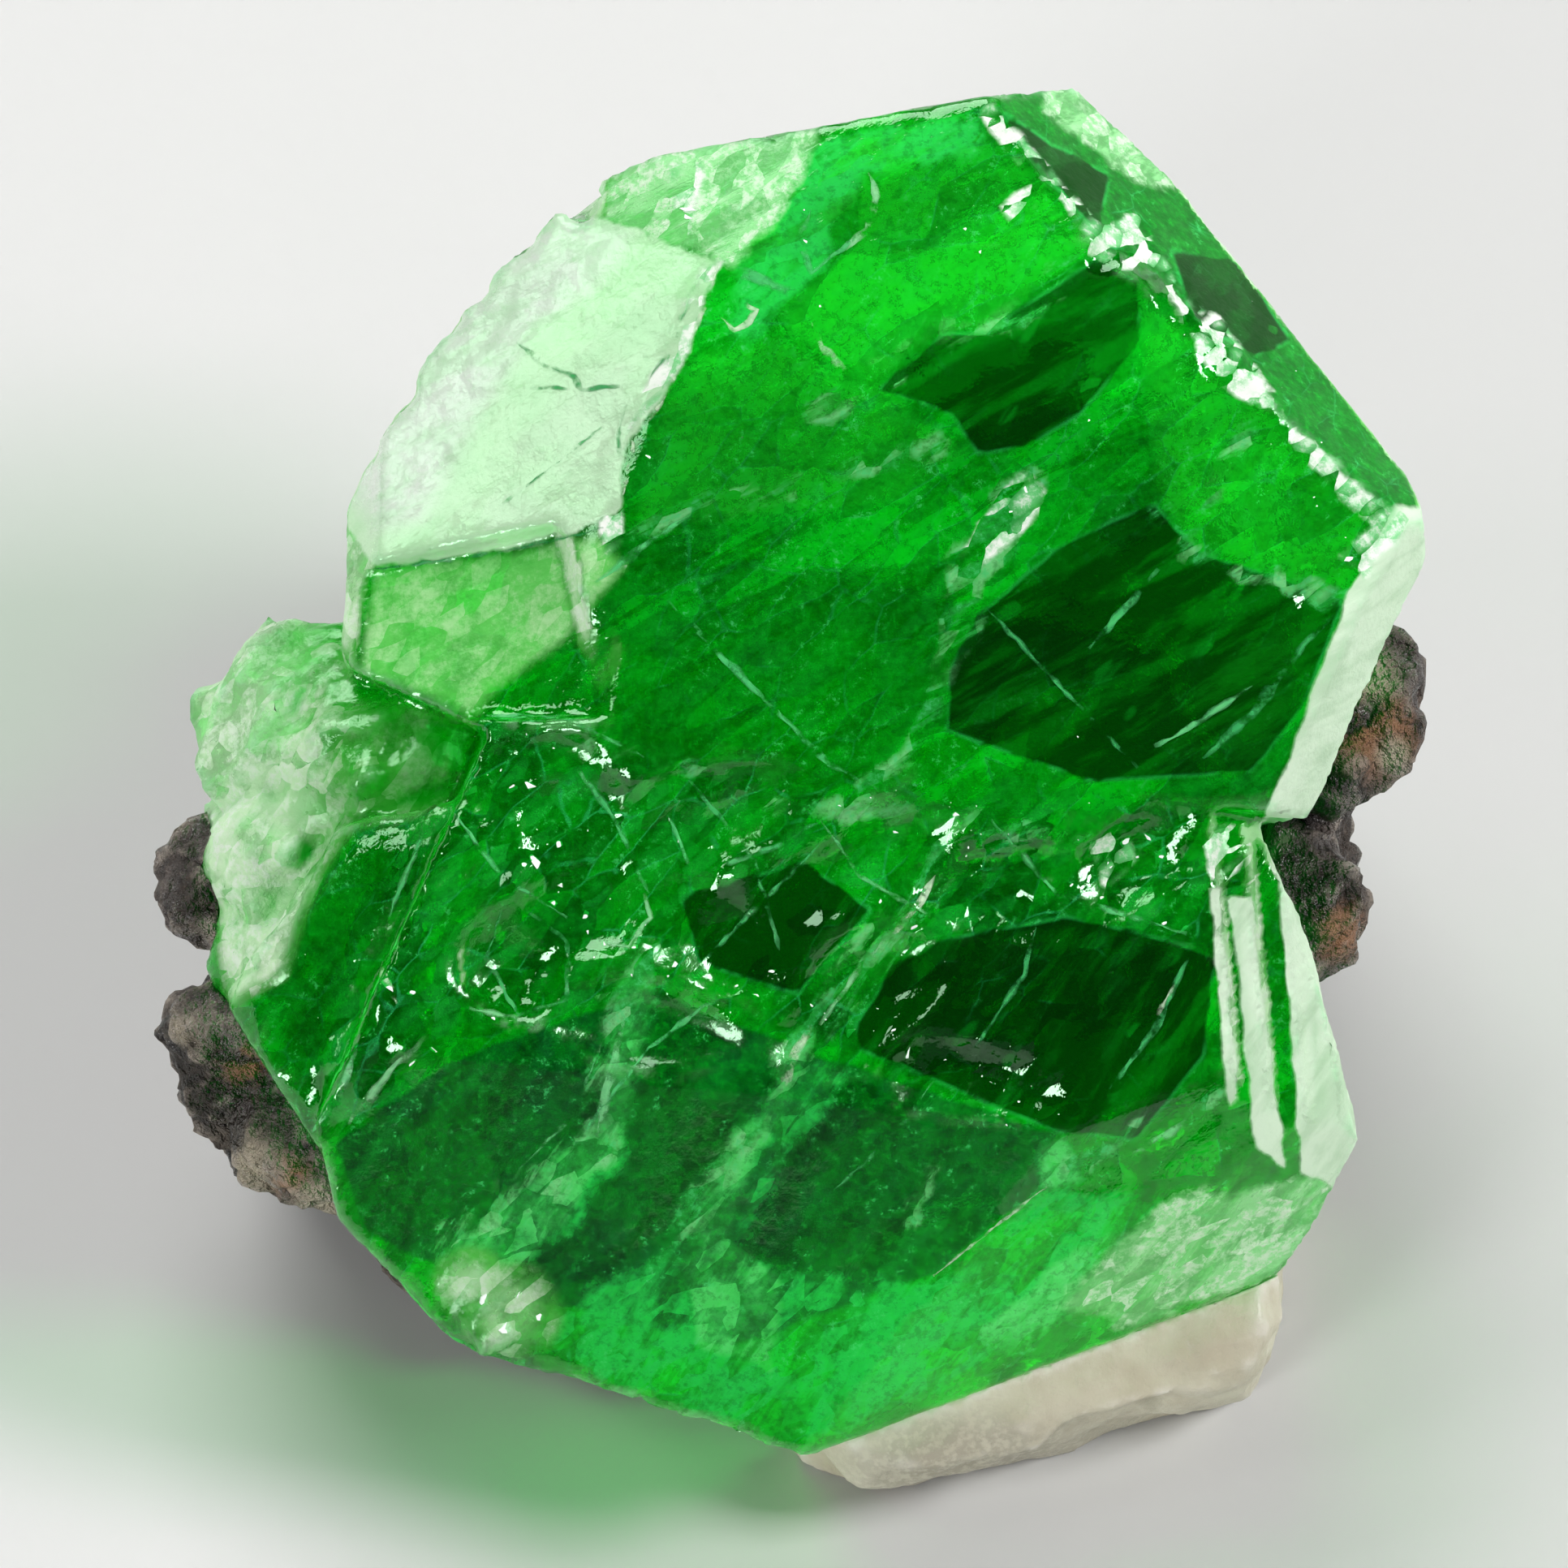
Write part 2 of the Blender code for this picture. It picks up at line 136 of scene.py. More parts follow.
def facets(points, per_mm, seed):
    """Noise from 0 to 1 that is made of flat triangular patches with sharp borders."""
    grid = points * per_mm + seed * 3.7
    corner = np.floor(grid).astype(np.int64)
    part = grid - corner
    order = np.argsort(-part, axis=1)
    ranked = np.take_along_axis(part, order, 1)
    ranked = np.hstack((np.ones((len(part), 1)), ranked, np.zeros((len(part), 1))))
    height = np.zeros(len(part))
    for step in range(4):
        # a random height for each corner of the grid, from whole-number mixing
        mixed = corner[:, 0] * 73856093 ^ corner[:, 1] * 19349663 ^ corner[:, 2] * 83492791
        mixed = (mixed ^ seed * 2654435761) & 0xFFFFFFFF
        mixed = (mixed ^ mixed >> 15) * 2246822519 & 0xFFFFFFFF
        mixed = (mixed ^ mixed >> 13) * 3266489917 & 0xFFFFFFFF
        mixed ^= mixed >> 16
        height += (ranked[:, step] - ranked[:, step + 1]) * (mixed % 4096) / 4095
        if step < 3:
            corner[np.arange(len(part)), order[:, step]] += 1
    return height


def convexity(mesh, rounds):
    """How much each vertex stands out as an edge or point: 0 on a flat, 1 on a sharp edge."""
    points, normals = surface_of(mesh)
    ends = np.zeros(len(mesh.edges) * 2, int)
    mesh.edges.foreach_get("vertices", ends)
    first, second = ends.reshape(-1, 2).T
    step = points[second] - points[first]
    bend = ((normals[second] - normals[first]) * step).sum(1)
    bend /= np.maximum((step * step).sum(1), 1e-9)
    count = np.bincount(first, minlength=len(points)) + np.bincount(second, minlength=len(points))
    count = np.maximum(count, 1)
    value = (
        np.bincount(first, bend, len(points)) + np.bincount(second, bend, len(points))
    ) / count
    for _ in range(rounds):
        around = np.bincount(first, value[second], len(points))
        around += np.bincount(second, value[first], len(points))
        value = (value + around / count) / 2
    return value


def paint(mesh, name, values):
    """Keeps one number per vertex for the material to read."""
    layer = mesh.attributes.new(name, "FLOAT", "POINT")
    layer.data.foreach_set("value", np.asarray(values, np.float32))


BOX_MARGIN = 0.005       # mm


def keep_inside(points, node):
    """Points in mm moved back into the box of a CAD node."""
    low, high = (np.array(corner) * 1000 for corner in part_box(node))
    return np.clip(points, low + BOX_MARGIN, high - BOX_MARGIN)


def to_metres(piece):
    piece.data.transform(Matrix.Scale(0.001, 4))
    piece.data.update()


def add(tree, kind, inputs=None, **settings):
    """A shader node with its settings, each input set to a value or joined to a socket."""
    made = tree.nodes.new("ShaderNode" + kind)
    for name, value in settings.items():
        setattr(made, name, value)
    for name, value in (inputs or {}).items():
        if isinstance(value, bpy.types.NodeSocket):
            tree.links.new(value, made.inputs[name])
        else:
            made.inputs[name].default_value = value
    return made


def number(tree, operation, *values, clamp=False):
    made = add(tree, "Math", dict(enumerate(values)), operation=operation, use_clamp=clamp)
    return made.outputs[0]


def times(tree, first, second):
    return number(tree, "MULTIPLY", first, second)


def between(tree, value, low, high, start=0.0, end=1.0):
    """value from low to high turned into start to end, smoothly and no further."""
    made = add(tree, "MapRange", {
        "Value": value, "From Min": low, "From Max": high, "To Min": start, "To Max": end,
    }, interpolation_type="SMOOTHSTEP")
    return made.outputs["Result"]


def tinted(tree, share, first, second, way="MIX"):
    """Two colours mixed by share."""
    made = add(tree, "Mix", {0: share}, data_type="RGBA", blend_type=way)
    for slot, colour in ((6, first), (7, second)):
        if isinstance(colour, bpy.types.NodeSocket):
            tree.links.new(colour, made.inputs[slot])
        else:
            made.inputs[slot].default_value = (*colour, 1)
    return made.outputs[2]


def layered(tree, colour, *layers):
    """The colour with each (share, colour) pair laid over it in turn."""
    for share, over in layers:
        colour = tinted(tree, share, colour, over)
    return colour


def painted(tree, name):
    return add(tree, "Attribute", attribute_name=name).outputs["Fac"]


def new_group(name, inputs, outputs):
    """A node group with named number inputs and outputs, and its own in and out nodes."""
    tree = bpy.data.node_groups.new(name, "ShaderNodeTree")
    for socket, value in inputs.items():
        made = tree.interface.new_socket(socket, in_out="INPUT", socket_type="NodeSocketFloat")
        made.default_value = value
    for socket in outputs:
        tree.interface.new_socket(socket, in_out="OUTPUT", socket_type="NodeSocketFloat")
    return tree, tree.nodes.new("NodeGroupInput").outputs, tree.nodes.new("NodeGroupOutput").inputs


def use_group(tree, group, **inputs):
    made = tree.nodes.new("ShaderNodeGroup")
    made.node_tree = group
    for name, value in inputs.items():
        made.inputs[name.replace("_", " ")].default_value = value
    return made.outputs


def new_material(name):
    """A new material, its node tree and its Principled shader."""
    material = bpy.data.materials.new(name)
    material.use_nodes = True
    return material, material.node_tree, material.node_tree.nodes["Principled BSDF"]


# Mineral grain in three sizes: broad patches, mid-sized blotches and fine grain, with a relief
# that the bump of a material can take.
mineral_grain, given, result = new_group(
    "mineral_grain",
    {"Patch scale": 250.0, "Blotch scale": 900.0, "Grain scale": 4000.0},
    ("Patches", "Blotches", "Grain", "Relief"),
)
spot = add(mineral_grain, "TexCoord").outputs["Object"]
layers = {}
for output, scale, detail in (
    ("Patches", "Patch scale", 4.0), ("Blotches", "Blotch scale", 5.0), ("Grain", "Grain scale", 3.0),
):
    cloud = add(mineral_grain, "TexNoise", {
        "Vector": spot, "Scale": given[scale], "Detail": detail, "Roughness": 0.6,
    })
    layers[output] = between(mineral_grain, cloud.outputs["Fac"], 0.35, 0.65)
    mineral_grain.links.new(layers[output], result[output])
relief = number(mineral_grain, "MULTIPLY_ADD", layers["Grain"], 0.35, layers["Blotches"])
mineral_grain.links.new(relief, result["Relief"])

# Wear along edges: strongest on sharp edges and broken up by noise.
edge_wear, given, result = new_group("edge_wear", {"Amount": 1.0, "Scale": 1500.0}, ("Wear",))
spot = add(edge_wear, "TexCoord").outputs["Object"]
breaks = add(edge_wear, "TexNoise", {
    "Vector": spot, "Scale": given["Scale"], "Detail": 4.0, "Roughness": 0.65,
}).outputs["Fac"]
sharp = between(edge_wear, painted(edge_wear, "edge"), 0.15, 0.9)
worn = times(edge_wear, sharp, between(edge_wear, breaks, 0.38, 0.58))
edge_wear.links.new(number(edge_wear, "MULTIPLY", worn, given["Amount"], clamp=True), result["Wear"])

crystal_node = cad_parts["tsavorite_crystal"].data
crystal_surface = BVHTree.FromPolygons(
    [vertex.co * 1000 for vertex in crystal_node.vertices],
    [face.vertices for face in crystal_node.polygons],
)


TOUCHING = 0.42          # mm, rock nearer to the garnet than this is drawn right onto it


def meet_crystal(points, reach, off_base):
    """Points in mm drawn onto the garnet where they lie close to it, and how much each one was."""
    found = [crystal_surface.find_nearest(Vector(p)) for p in points]
    there = np.array([hit[0] for hit in found])
    share = (1 - smooth_between(np.array([hit[3] for hit in found]), TOUCHING, reach)) * off_base
    return points + (there - points) * share[:, None], share


ROCK_GRID = 0.13


def rough_rock(node, name, base, reach, height_at):
    """A rock with relief from height_at, flat at its base and drawn onto the garnet within reach."""
    rock = fine_copy(node, name, ROCK_GRID)
    points, normals = surface_of(rock.data)
    off_base = smooth_between(points[:, 2], 0.1, base)
    points, touching = meet_crystal(points, reach, off_base)
    height = height_at(points) * (off_base * (1 - touching))
    points = keep_inside(points + normals * height[:, None], node)
    set_points(rock.data, points)
    paint(rock.data, "edge", np.clip(convexity(rock.data, 2) * 0.35, 0, 1))
    return rock, to_show(points)


def hackly(points):
    height = 0.10 * lumps(points, 0.7, 1, 2) + 0.10 * (crags(points, 0.9, 2) - 0.5)
    height += 0.08 * (crags(points, 2.1, 3) - 0.5) + 0.55 * (facets(points, 0.8, 5) - 0.5)
    return height + 0.42 * (facets(points, 1.9, 6) - 0.5) + 0.2 * (facets(points, 3.6, 7) - 0.5)


graphite, show = rough_rock("graphite_matrix", "graphite_rock", 0.9, 0.85, hackly)


def spots(show, *places):
    """1 in the middle of each picture place and 0 beyond its reach in mm."""
    most = np.zeros(len(show))
    for x, y, reach in places:
        u, v = on_show_side(x, y)
        away = np.hypot(show[:, 0] - u, show[:, 1] - v)
        most = np.maximum(most, 1 - smooth_between(away, 0.2 * reach, reach))
    return most


stains = spots(show, (305, 1310, 0.8), (1700, 900, 1.2), (1655, 1150, 0.8), (350, 1450, 0.6))
crust = spots(
    show, (200, 1290, 1.0), (290, 1440, 1.1), (390, 1490, 0.8), (1690, 830, 0.8), (1720, 930, 0.5),
)
paint(graphite.data, "pale_crust", crust)
paint(graphite.data, "stain_and_shade", stains)
to_metres(graphite)

material, tree, stone = new_material("graphite_gneiss")
grain = use_group(tree, mineral_grain, Patch_scale=330.0, Blotch_scale=1100.0, Grain_scale=4500.0)
wear = use_group(tree, edge_wear, Amount=0.8, Scale=1300.0)["Wear"]
stain_and_shade = times(tree, painted(tree, "stain_and_shade"), between(tree, grain["Blotches"], 0.15, 0.7))
colour = tinted(tree, grain["Patches"], (0.008, 0.007, 0.008), (0.12, 0.10, 0.092))
crust = times(tree, painted(tree, "pale_crust"), between(tree, grain["Patches"], 0.1, 0.7))
colour = layered(
    tree, colour,
    (times(tree, grain["Blotches"], 0.35), (0.10, 0.065, 0.035)),
    (times(tree, grain["Grain"], 0.55), (0.006, 0.005, 0.005)),
    (stain_and_shade, (0.26, 0.125, 0.06)), (crust, (0.38, 0.33, 0.24)), (wear, (0.34, 0.29, 0.24)),
)


def finish_rock(tree, shader, colour, rough, bump):
    tree.links.new(colour, shader.inputs["Base Color"])
    tree.links.new(rough, shader.inputs["Roughness"])
    tree.links.new(bump.outputs["Normal"], shader.inputs["Normal"])


bump = add(tree, "Bump", {"Height": grain["Relief"], "Strength": 1.0, "Distance": 0.00026})
finish_rock(tree, stone, colour, between(tree, grain["Blotches"], 0.1, 0.9, 0.22, 0.62), bump)
graphite.data.materials.append(material)
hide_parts("graphite_matrix")
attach(graphite, "root")


# Calcite matrix: the pale rock under the lower right of the crystals, cream to pinkish grey
# calcite with a fine sugary grain. It is soft, so its broken face is rounded and smooth.
def rounded(points):
    return 0.13 * lumps(points, 0.8, 11, 2) + 0.05 * lumps(points, 2.4, 12, 2)


calcite, show = rough_rock("calcite_matrix", "calcite_rock", 0.8, 0.8, rounded)
# Painted shade: grey-brown towards the lower edge of the calcite.
u, v = on_show_side(1190, 1815)
grey = 1 - smooth_between(np.hypot(show[:, 0] - u, (show[:, 1] - v) * 2), 1.0, 3.2)
paint(calcite.data, "stain_and_shade", grey)
to_metres(calcite)

material, tree, spar = new_material("sugary_calcite")
grain = use_group(tree, mineral_grain, Patch_scale=260.0, Blotch_scale=900.0, Grain_scale=6000.0)
wear = use_group(tree, edge_wear, Amount=0.5, Scale=1500.0)["Wear"]
colour = tinted(tree, grain["Patches"], (0.50, 0.45, 0.33), (0.62, 0.60, 0.47))
# Painted shade towards the lower edge, broken by the grain.
shade = times(tree, painted(tree, "stain_and_shade"), between(tree, grain["Grain"], -0.5, 1.0, 0.3, 1.0))
colour = layered(
    tree, colour,
    (times(tree, grain["Blotches"], 0.3), (0.40, 0.34, 0.25)),
    (times(tree, shade, 0.65), (0.25, 0.22, 0.17)), (wear, (0.78, 0.75, 0.68)),
)
bump = add(tree, "Bump", {"Height": grain["Relief"], "Strength": 0.35, "Distance": 0.00006})
finish_rock(tree, spar, colour, between(tree, grain["Grain"], 0.0, 1.0, 0.42, 0.65), bump)
calcite.data.materials.append(material)
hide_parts("calcite_matrix")
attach(calcite, "root")


# Tsavorite crystal: two blocks of one green garnet grown together, see-through deep green inside.
# Its growth faces are flat and bright. The left lobe, the rims and the right side are etched pale,
# the upper left face and the right strips partly as a painted reflection, and the bulge on the left
# and the ledge between the blocks broke in shells. The light and dark patches inside it, the sheen
# of the lower block and the glints on it are painted light, shade and reflection.
CRYSTAL_GRID = 0.142


def outline_depth(show, *corners):
    """How far inside an outline of picture places each point is in mm; outside it is negative."""
    places = np.array([on_show_side(*corner) for corner in corners])
    u, v = show[:, 0], show[:, 1]
    nearest = np.full(len(show), 1e9)
    inside = np.zeros(len(show), bool)
    for (u0, v0), (u1, v1) in zip(places, np.roll(places, -1, 0)):
        along = np.array((u1 - u0, v1 - v0))
        share = ((u - u0) * along[0] + (v - v0) * along[1]) / max(along @ along, 1e-9)
        share = np.clip(share, 0, 1)
        nearest = np.minimum(nearest, np.hypot(u - u0 - share * along[0], v - v0 - share * along[1]))
        if v0 != v1:
            crossing = (v0 > v) != (v1 > v)
            inside ^= crossing & (u < (u1 - u0) * (v - v0) / (v1 - v0) + u0)
    return np.where(inside, nearest, -nearest)


def line_depth(show, width, *places):
    """How far inside a line of some width through picture places each point is, in mm."""
    nearest = np.full(len(show), 1e9)
    for start, end in zip(places, places[1:]):
        start, end = np.array(on_show_side(*start)), np.array(on_show_side(*end))
        ahead = end - start
        share = np.clip((show[:, :2] - start) @ ahead / (ahead @ ahead), 0, 1)
        nearest = np.minimum(nearest, np.hypot(*(show[:, :2] - start - share[:, None] * ahead).T))
    return width / 2 - nearest


def any_of(show, outlines):
    """How far inside the nearest of some outlines each point is."""
    return np.max([outline_depth(show, *corners) for corners in outlines], axis=0)


# Zones of the crystal's show side, each one outline or several, as places of the picture.
LOBE = (
    (230, 830), (300, 760), (410, 745), (440, 860), (590, 885), (550, 1000), (440, 1020),
    (390, 1080), (350, 1200), (280, 1240), (260, 1100), (225, 960),
)
BULGE = (
    (400, 1060), (450, 1015), (550, 995), (600, 1000), (590, 1120), (545, 1270), (420, 1420),
    (385, 1420), (330, 1330), (270, 1240), (350, 1190),
)
# Painted reflection: the dull bluish sheen across the lower block.
REFLECTION_HAZE = (
    (415, 1410), (560, 1305), (800, 1220), (880, 1250), (1010, 1300), (1300, 1395),
    (1290, 1455), (1150, 1570), (900, 1660), (640, 1600), (450, 1520),
)
PALE_FACE = (
    (700, 250), (775, 285), (890, 325), (870, 380), (840, 450), (805, 505), (775, 550),
    (765, 632), (680, 665), (590, 682), (465, 702), (415, 640), (440, 500), (560, 340),
)
CLOUDY_FACE = (
    (460, 702), (590, 684), (740, 658), (775, 700), (700, 790), (615, 852), (590, 885), (440, 830),
)
WHITE_RIM = (
    (690, 258), (780, 288), (740, 350), (650, 420), (570, 545), (520, 640), (462, 650), (425, 600),
    (500, 470), (560, 360),
)
WHITE_STRIPS = (
    ((1715, 625), (1770, 625), (1760, 760), (1700, 900), (1620, 1025), (1550, 1022),
     (1600, 890), (1665, 720)),
    ((1490, 1095), (1500, 1095), (1523, 1360), (1513, 1360)),
    ((1512, 1105), (1540, 1105), (1583, 1440), (1548, 1415)),
    ((1572, 1050), (1610, 1100), (1640, 1230), (1690, 1400), (1650, 1465), (1603, 1445),
     (1585, 1200)),
)
# Painted shade: nearly black windows that stand for the dark seen through the stone.
DARK_WINDOWS = (
    ((1350, 322), (1400, 350), (1402, 425), (1330, 512), (1262, 552), (1205, 562), (1170, 512),
     (1085, 482), (1160, 414), (1212, 412)),
    ((1205, 758), (1310, 670), (1420, 622), (1475, 682), (1652, 742), (1602, 872), (1540, 952),
     (1340, 962), (1165, 900), (1168, 830)),
    ((1100, 1190), (1150, 1160), (1310, 1128), (1450, 1160), (1495, 1185), (1480, 1300),
     (1400, 1405), (1300, 1392), (1060, 1292), (1055, 1262)),
    ((1440, 308), (1530, 320), (1592, 420), (1540, 440), (1470, 392)),
    ((840, 1105), (990, 1062), (1075, 1120), (985, 1225), (860, 1185)),
    ((1225, 132), (1290, 175), (1368, 215), (1352, 292), (1285, 215)),
)
# Painted shade: half dark patches.
HALF_DARK = (
    ((1340, 1400), (1400, 1405), (1480, 1310), (1520, 1330), (1500, 1400), (1400, 1450)),
    ((635, 850), (825, 745), (1078, 968), (900, 960), (740, 900)),
    ((850, 762), (1010, 705), (1185, 690), (1160, 830), (1082, 965)),
    ((420, 1055), (560, 1002), (545, 1095), (470, 1180), (400, 1250), (320, 1225)),
    ((700, 925), (830, 950), (810, 1040), (720, 1000)),
    ((970, 250), (1060, 220), (1060, 300), (1000, 360), (960, 330)),
    ((560, 1150), (640, 1110), (720, 1170), (690, 1270), (600, 1280), (550, 1220)),
    ((345, 1235), (430, 1270), (520, 1190), (545, 1250), (440, 1390), (385, 1410)),
)
BAND = (
    ((1225, 128), (1300, 90), (1410, 150), (1480, 260), (1610, 410), (1775, 640), (1722, 640),
     (1650, 600), (1552, 492), (1480, 400), (1400, 318), (1350, 297), (1280, 220)),
)
# Painted light: brighter green zones where light comes back out of the stone.
BRIGHT_GREEN = (
    ((960, 240), (1060, 170), (1215, 140), (1280, 225), (1345, 300), (1210, 408), (1150, 405),
     (1075, 470), (950, 400)),
    ((1405, 360), (1550, 492), (1690, 655), (1652, 738), (1475, 678), (1425, 615)),
    ((800, 540), (850, 450), (950, 420), (1100, 490), (1180, 560), (1100, 620), (880, 640),
     (790, 650)),
    ((440, 830), (600, 850), (590, 885), (450, 872)),
    ((1420, 880), (1540, 790), (1620, 760), (1550, 950), (1450, 960)),
)
MINT = (
    ((775, 195), (1010, 160), (960, 270), (900, 330), (775, 288), (715, 262)),
    ((1295, 95), (1390, 105), (1450, 225), (1400, 225), (1345, 175), (1290, 135)),
    ((1440, 1480), (1650, 1445), (1610, 1560), (1400, 1635), (1300, 1610)),
)
CLOUDS = (
    ((800, 190), (1060, 165), (1215, 140), (1200, 190), (1060, 215), (1010, 330), (930, 420),
     (890, 420), (905, 330)),
    ((790, 1560), (870, 1505), (960, 1560), (1130, 1575), (1290, 1462), (1430, 1480), (1350, 1600),
     (1200, 1690), (1000, 1780), (850, 1740), (700, 1680), (640, 1640), (720, 1590)),
    ((1270, 1395), (1305, 1398), (1330, 1450), (1290, 1460)),
    ((560, 1540), (640, 1465), (735, 1385), (775, 1420), (700, 1520), (600, 1590)),
    ((860, 1520), (905, 1400), (1000, 1290), (1040, 1320), (960, 1440), (930, 1540)),
    ((735, 1390), (752, 1290), (775, 1200), (810, 1180), (795, 1300), (775, 1420)),
)
PALE_CLOUDS = (
    ((575, 1560), (600, 1500), (680, 1440), (735, 1370), (745, 1300), (765, 1200), (790, 1170),
     (805, 1200), (785, 1290), (775, 1400), (700, 1490), (640, 1565)),
    ((850, 1520), (875, 1440), (930, 1370), (980, 1265), (1010, 1262), (990, 1330), (955, 1390),
     (915, 1460), (895, 1540)),
    ((840, 1560), (880, 1515), (960, 1570), (950, 1690), (860, 1660)),
    ((560, 1530), (600, 1500), (640, 1540), (590, 1580)),
    ((1280, 1410), (1308, 1402), (1330, 1450), (1290, 1460)),
    ((1200, 1640), (1330, 1540), (1500, 1470), (1380, 1570), (1250, 1680)),
)
CRUSHED = (
    ((1197, 138), (1226, 128), (1292, 212), (1276, 226)),
    ((1276, 215), (1292, 205), (1362, 290), (1346, 303)),
    ((1342, 283), (1402, 262), (1432, 322), (1382, 336), (1340, 312)),
    ((1400, 320), (1425, 305), (1482, 385), (1462, 400)),
    ((1462, 402), (1500, 388), (1566, 482), (1542, 508), (1495, 470)),
    ((1542, 500), (1556, 485), (1660, 595), (1645, 607)),
    ((1640, 600), (1660, 590), (1740, 640), (1680, 712), (1640, 690), (1690, 650)),
    ((1205, 645), (1258, 585), (1300, 615), (1262, 655), (1200, 700), (1180, 690)),
    ((1340, 1040), (1385, 1022), (1400, 1060), (1360, 1095)),
    ((770, 540), (806, 498), (842, 448), (872, 376), (892, 325), (860, 330), (800, 470)),
    ((740, 640), (768, 625), (776, 700), (745, 690)),
    ((1485, 1020), (1545, 1020), (1510, 1090), (1485, 1080)),
    ((1230, 255), (1270, 232), (1276, 262), (1248, 278)),
    ((825, 205), (870, 200), (850, 300), (830, 300)),
)
VEIL_BANDS = (
    # width in mm, then the line in the picture
    (0.75, (962, 1350), (1000, 1262), (1050, 1200), (1100, 1140), (1150, 1070), (1165, 1015)),
    (0.80, (560, 1545), (640, 1475), (735, 1410), (752, 1330), (768, 1230), (792, 1165)),
    (0.55, (850, 1520), (895, 1430), (960, 1365)),
    (0.20, (1120, 1500), (1165, 1410), (1205, 1340)),
    (0.75, (1262, 612), (1228, 655), (1190, 705), (1182, 780)),
    (0.45, (1182, 780), (1150, 880), (1110, 940), (1078, 972)),
    (0.40, (1350, 318), (1285, 362), (1215, 406), (1160, 408), (1078, 470), (1010, 510)),
    (0.35, (780, 655), (900, 615), (1010, 590), (1150, 550)),
    (0.35, (1480, 620), (1520, 560), (1550, 500)),
    (0.30, (1425, 622), (1475, 682), (1560, 712), (1655, 742)),
    (0.35, (1330, 1440), (1400, 1385), (1490, 1352)),
    (0.30, (640, 890), (800, 930), (1000, 1000), (1180, 1010), (1400, 1050)),
)

crystal = fine_copy("tsavorite_crystal", "garnet_crystal", CRYSTAL_GRID)
points, normals = surface_of(crystal.data)
show, facing = to_show(points), normals @ SHOW_AXES.T
towards = smooth_between(facing[:, 2], 0.12, 0.35)
off_base = smooth_between(points[:, 2], 0.75, 1.4)
sharpness = convexity(crystal.data, 1)

lobe = smooth_between(outline_depth(show, *LOBE), -0.2, 0.25)
bulge = smooth_between(outline_depth(show, *BULGE), -0.1, 0.3) * towards
to_right = smooth_between(facing[:, 0], 0.66, 0.76)

# Relief: faint waves all over, the facets of the lobe, the shells of the bulge and the long growth
# lines down the right side. Then the broken ledge (seam), the back, the crushed edges, the grain.
height = 0.012 * lumps(points, 0.45, 21, 2) + 0.006 * lumps(points, 1.6, 22)
height += lobe * (0.05 * lumps(points, 1.2, 23, 2) + 0.2 * (facets(points, 1.5, 24) - 0.5))
height += lobe * (0.14 * (facets(points, 2.7, 35) - 0.5) + 0.07 * (facets(points, 5.0, 36) - 0.5))
swirl_u, swirl_v = on_show_side(640, 1190)
reach = np.hypot(show[:, 0] - swirl_u, show[:, 1] - swirl_v)
height += 0.03 * bulge * np.sin(reach * 5.5 + 1.5 * lumps(points, 0.8, 25))
stretched = np.stack((show[:, 0] * 5.5, show[:, 1] * 0.35, show[:, 2] * 5.5), 1)
height += 0.03 * to_right * lumps(stretched, 0.8, 26, 2)
seam = smooth_between(outline_depth(
    show, (590, 880), (800, 930), (1100, 985), (1400, 985), (1560, 1010), (1500, 1180), (1420, 1160),
    (1340, 1400), (1160, 1360), (1060, 1300), (850, 1230), (600, 1250), (480, 1390), (375, 1400),
    (410, 1240), (500, 1010),
), -0.1, 0.3) * towards
calm = 1 - 0.8 * smooth_between(any_of(show, DARK_WINDOWS), -0.05, 0.25)
ledge_facets = 0.20 * (facets(show, 0.9, 27) - 0.5) + 0.12 * (facets(show, 2.2, 28) - 0.5)
height += seam * calm * ledge_facets
behind = smooth_between(-facing[:, 2], -0.1, 0.2)
height += behind * (0.5 * (facets(show, 0.5, 30) - 0.6) + 0.12 * (facets(show, 1.4, 31) - 0.5))
height += 0.03 * (1 - seam) * towards * (facets(show, 0.6, 32) - 0.5)
crushed = smooth_between(any_of(show, CRUSHED), -0.12, 0.12) * towards
height += crushed * 0.11 * (facets(show, 3.2, 33) - 0.6)
grain_spot = spots(show, (628, 1618, 1.2), (580, 1582, 0.9)) * towards
height += grain_spot * (0.24 * (facets(points, 2.4, 37) - 0.3) + 0.1 * (facets(points, 4.5, 38) - 0.5))
white_rim = smooth_between(outline_depth(show, *WHITE_RIM), -0.3, 0.3)
height += white_rim * 0.03 * lumps(points, 2.6, 34, 2)
chips = smooth_between(sharpness, 0.5, 2.0) * smooth_between(facets(show, 1.6, 29), 0.5, 0.7)
height -= 0.07 * chips
points = keep_inside(points + normals * (height * off_base)[:, None], "tsavorite_crystal")
set_points(crystal.data, points)

# Painted zones: most hold how deep a place lies in a zone in mm, for the material to fray.
whole = 1 - smooth_between(line_depth(show, 1.2, (600, 870), (375, 1410)), 0.0, 0.3)
paint(crystal.data, "edge", np.clip(convexity(crystal.data, 1) * 0.3, 0, 1) * whole)
veil = np.max([line_depth(show, width, *places) for width, *places in VEIL_BANDS], axis=0)
pale, reflection_haze_depth = outline_depth(show, *PALE_FACE), outline_depth(show, *REFLECTION_HAZE)
for name, depth in (("pale_face", pale), ("reflection_haze", reflection_haze_depth), ("veil", veil)):
    paint(crystal.data, name, np.clip(np.where(towards > 0.3, depth, -1), -1, 1))
for name, outlines in (
    ("dark_window", DARK_WINDOWS), ("half_dark", HALF_DARK),
    ("bright_green", BRIGHT_GREEN), ("crushed", CRUSHED),
):
    depth = np.clip(any_of(show, outlines), -1, 1)
    paint(crystal.data, name, depth * towards - (1 - towards))
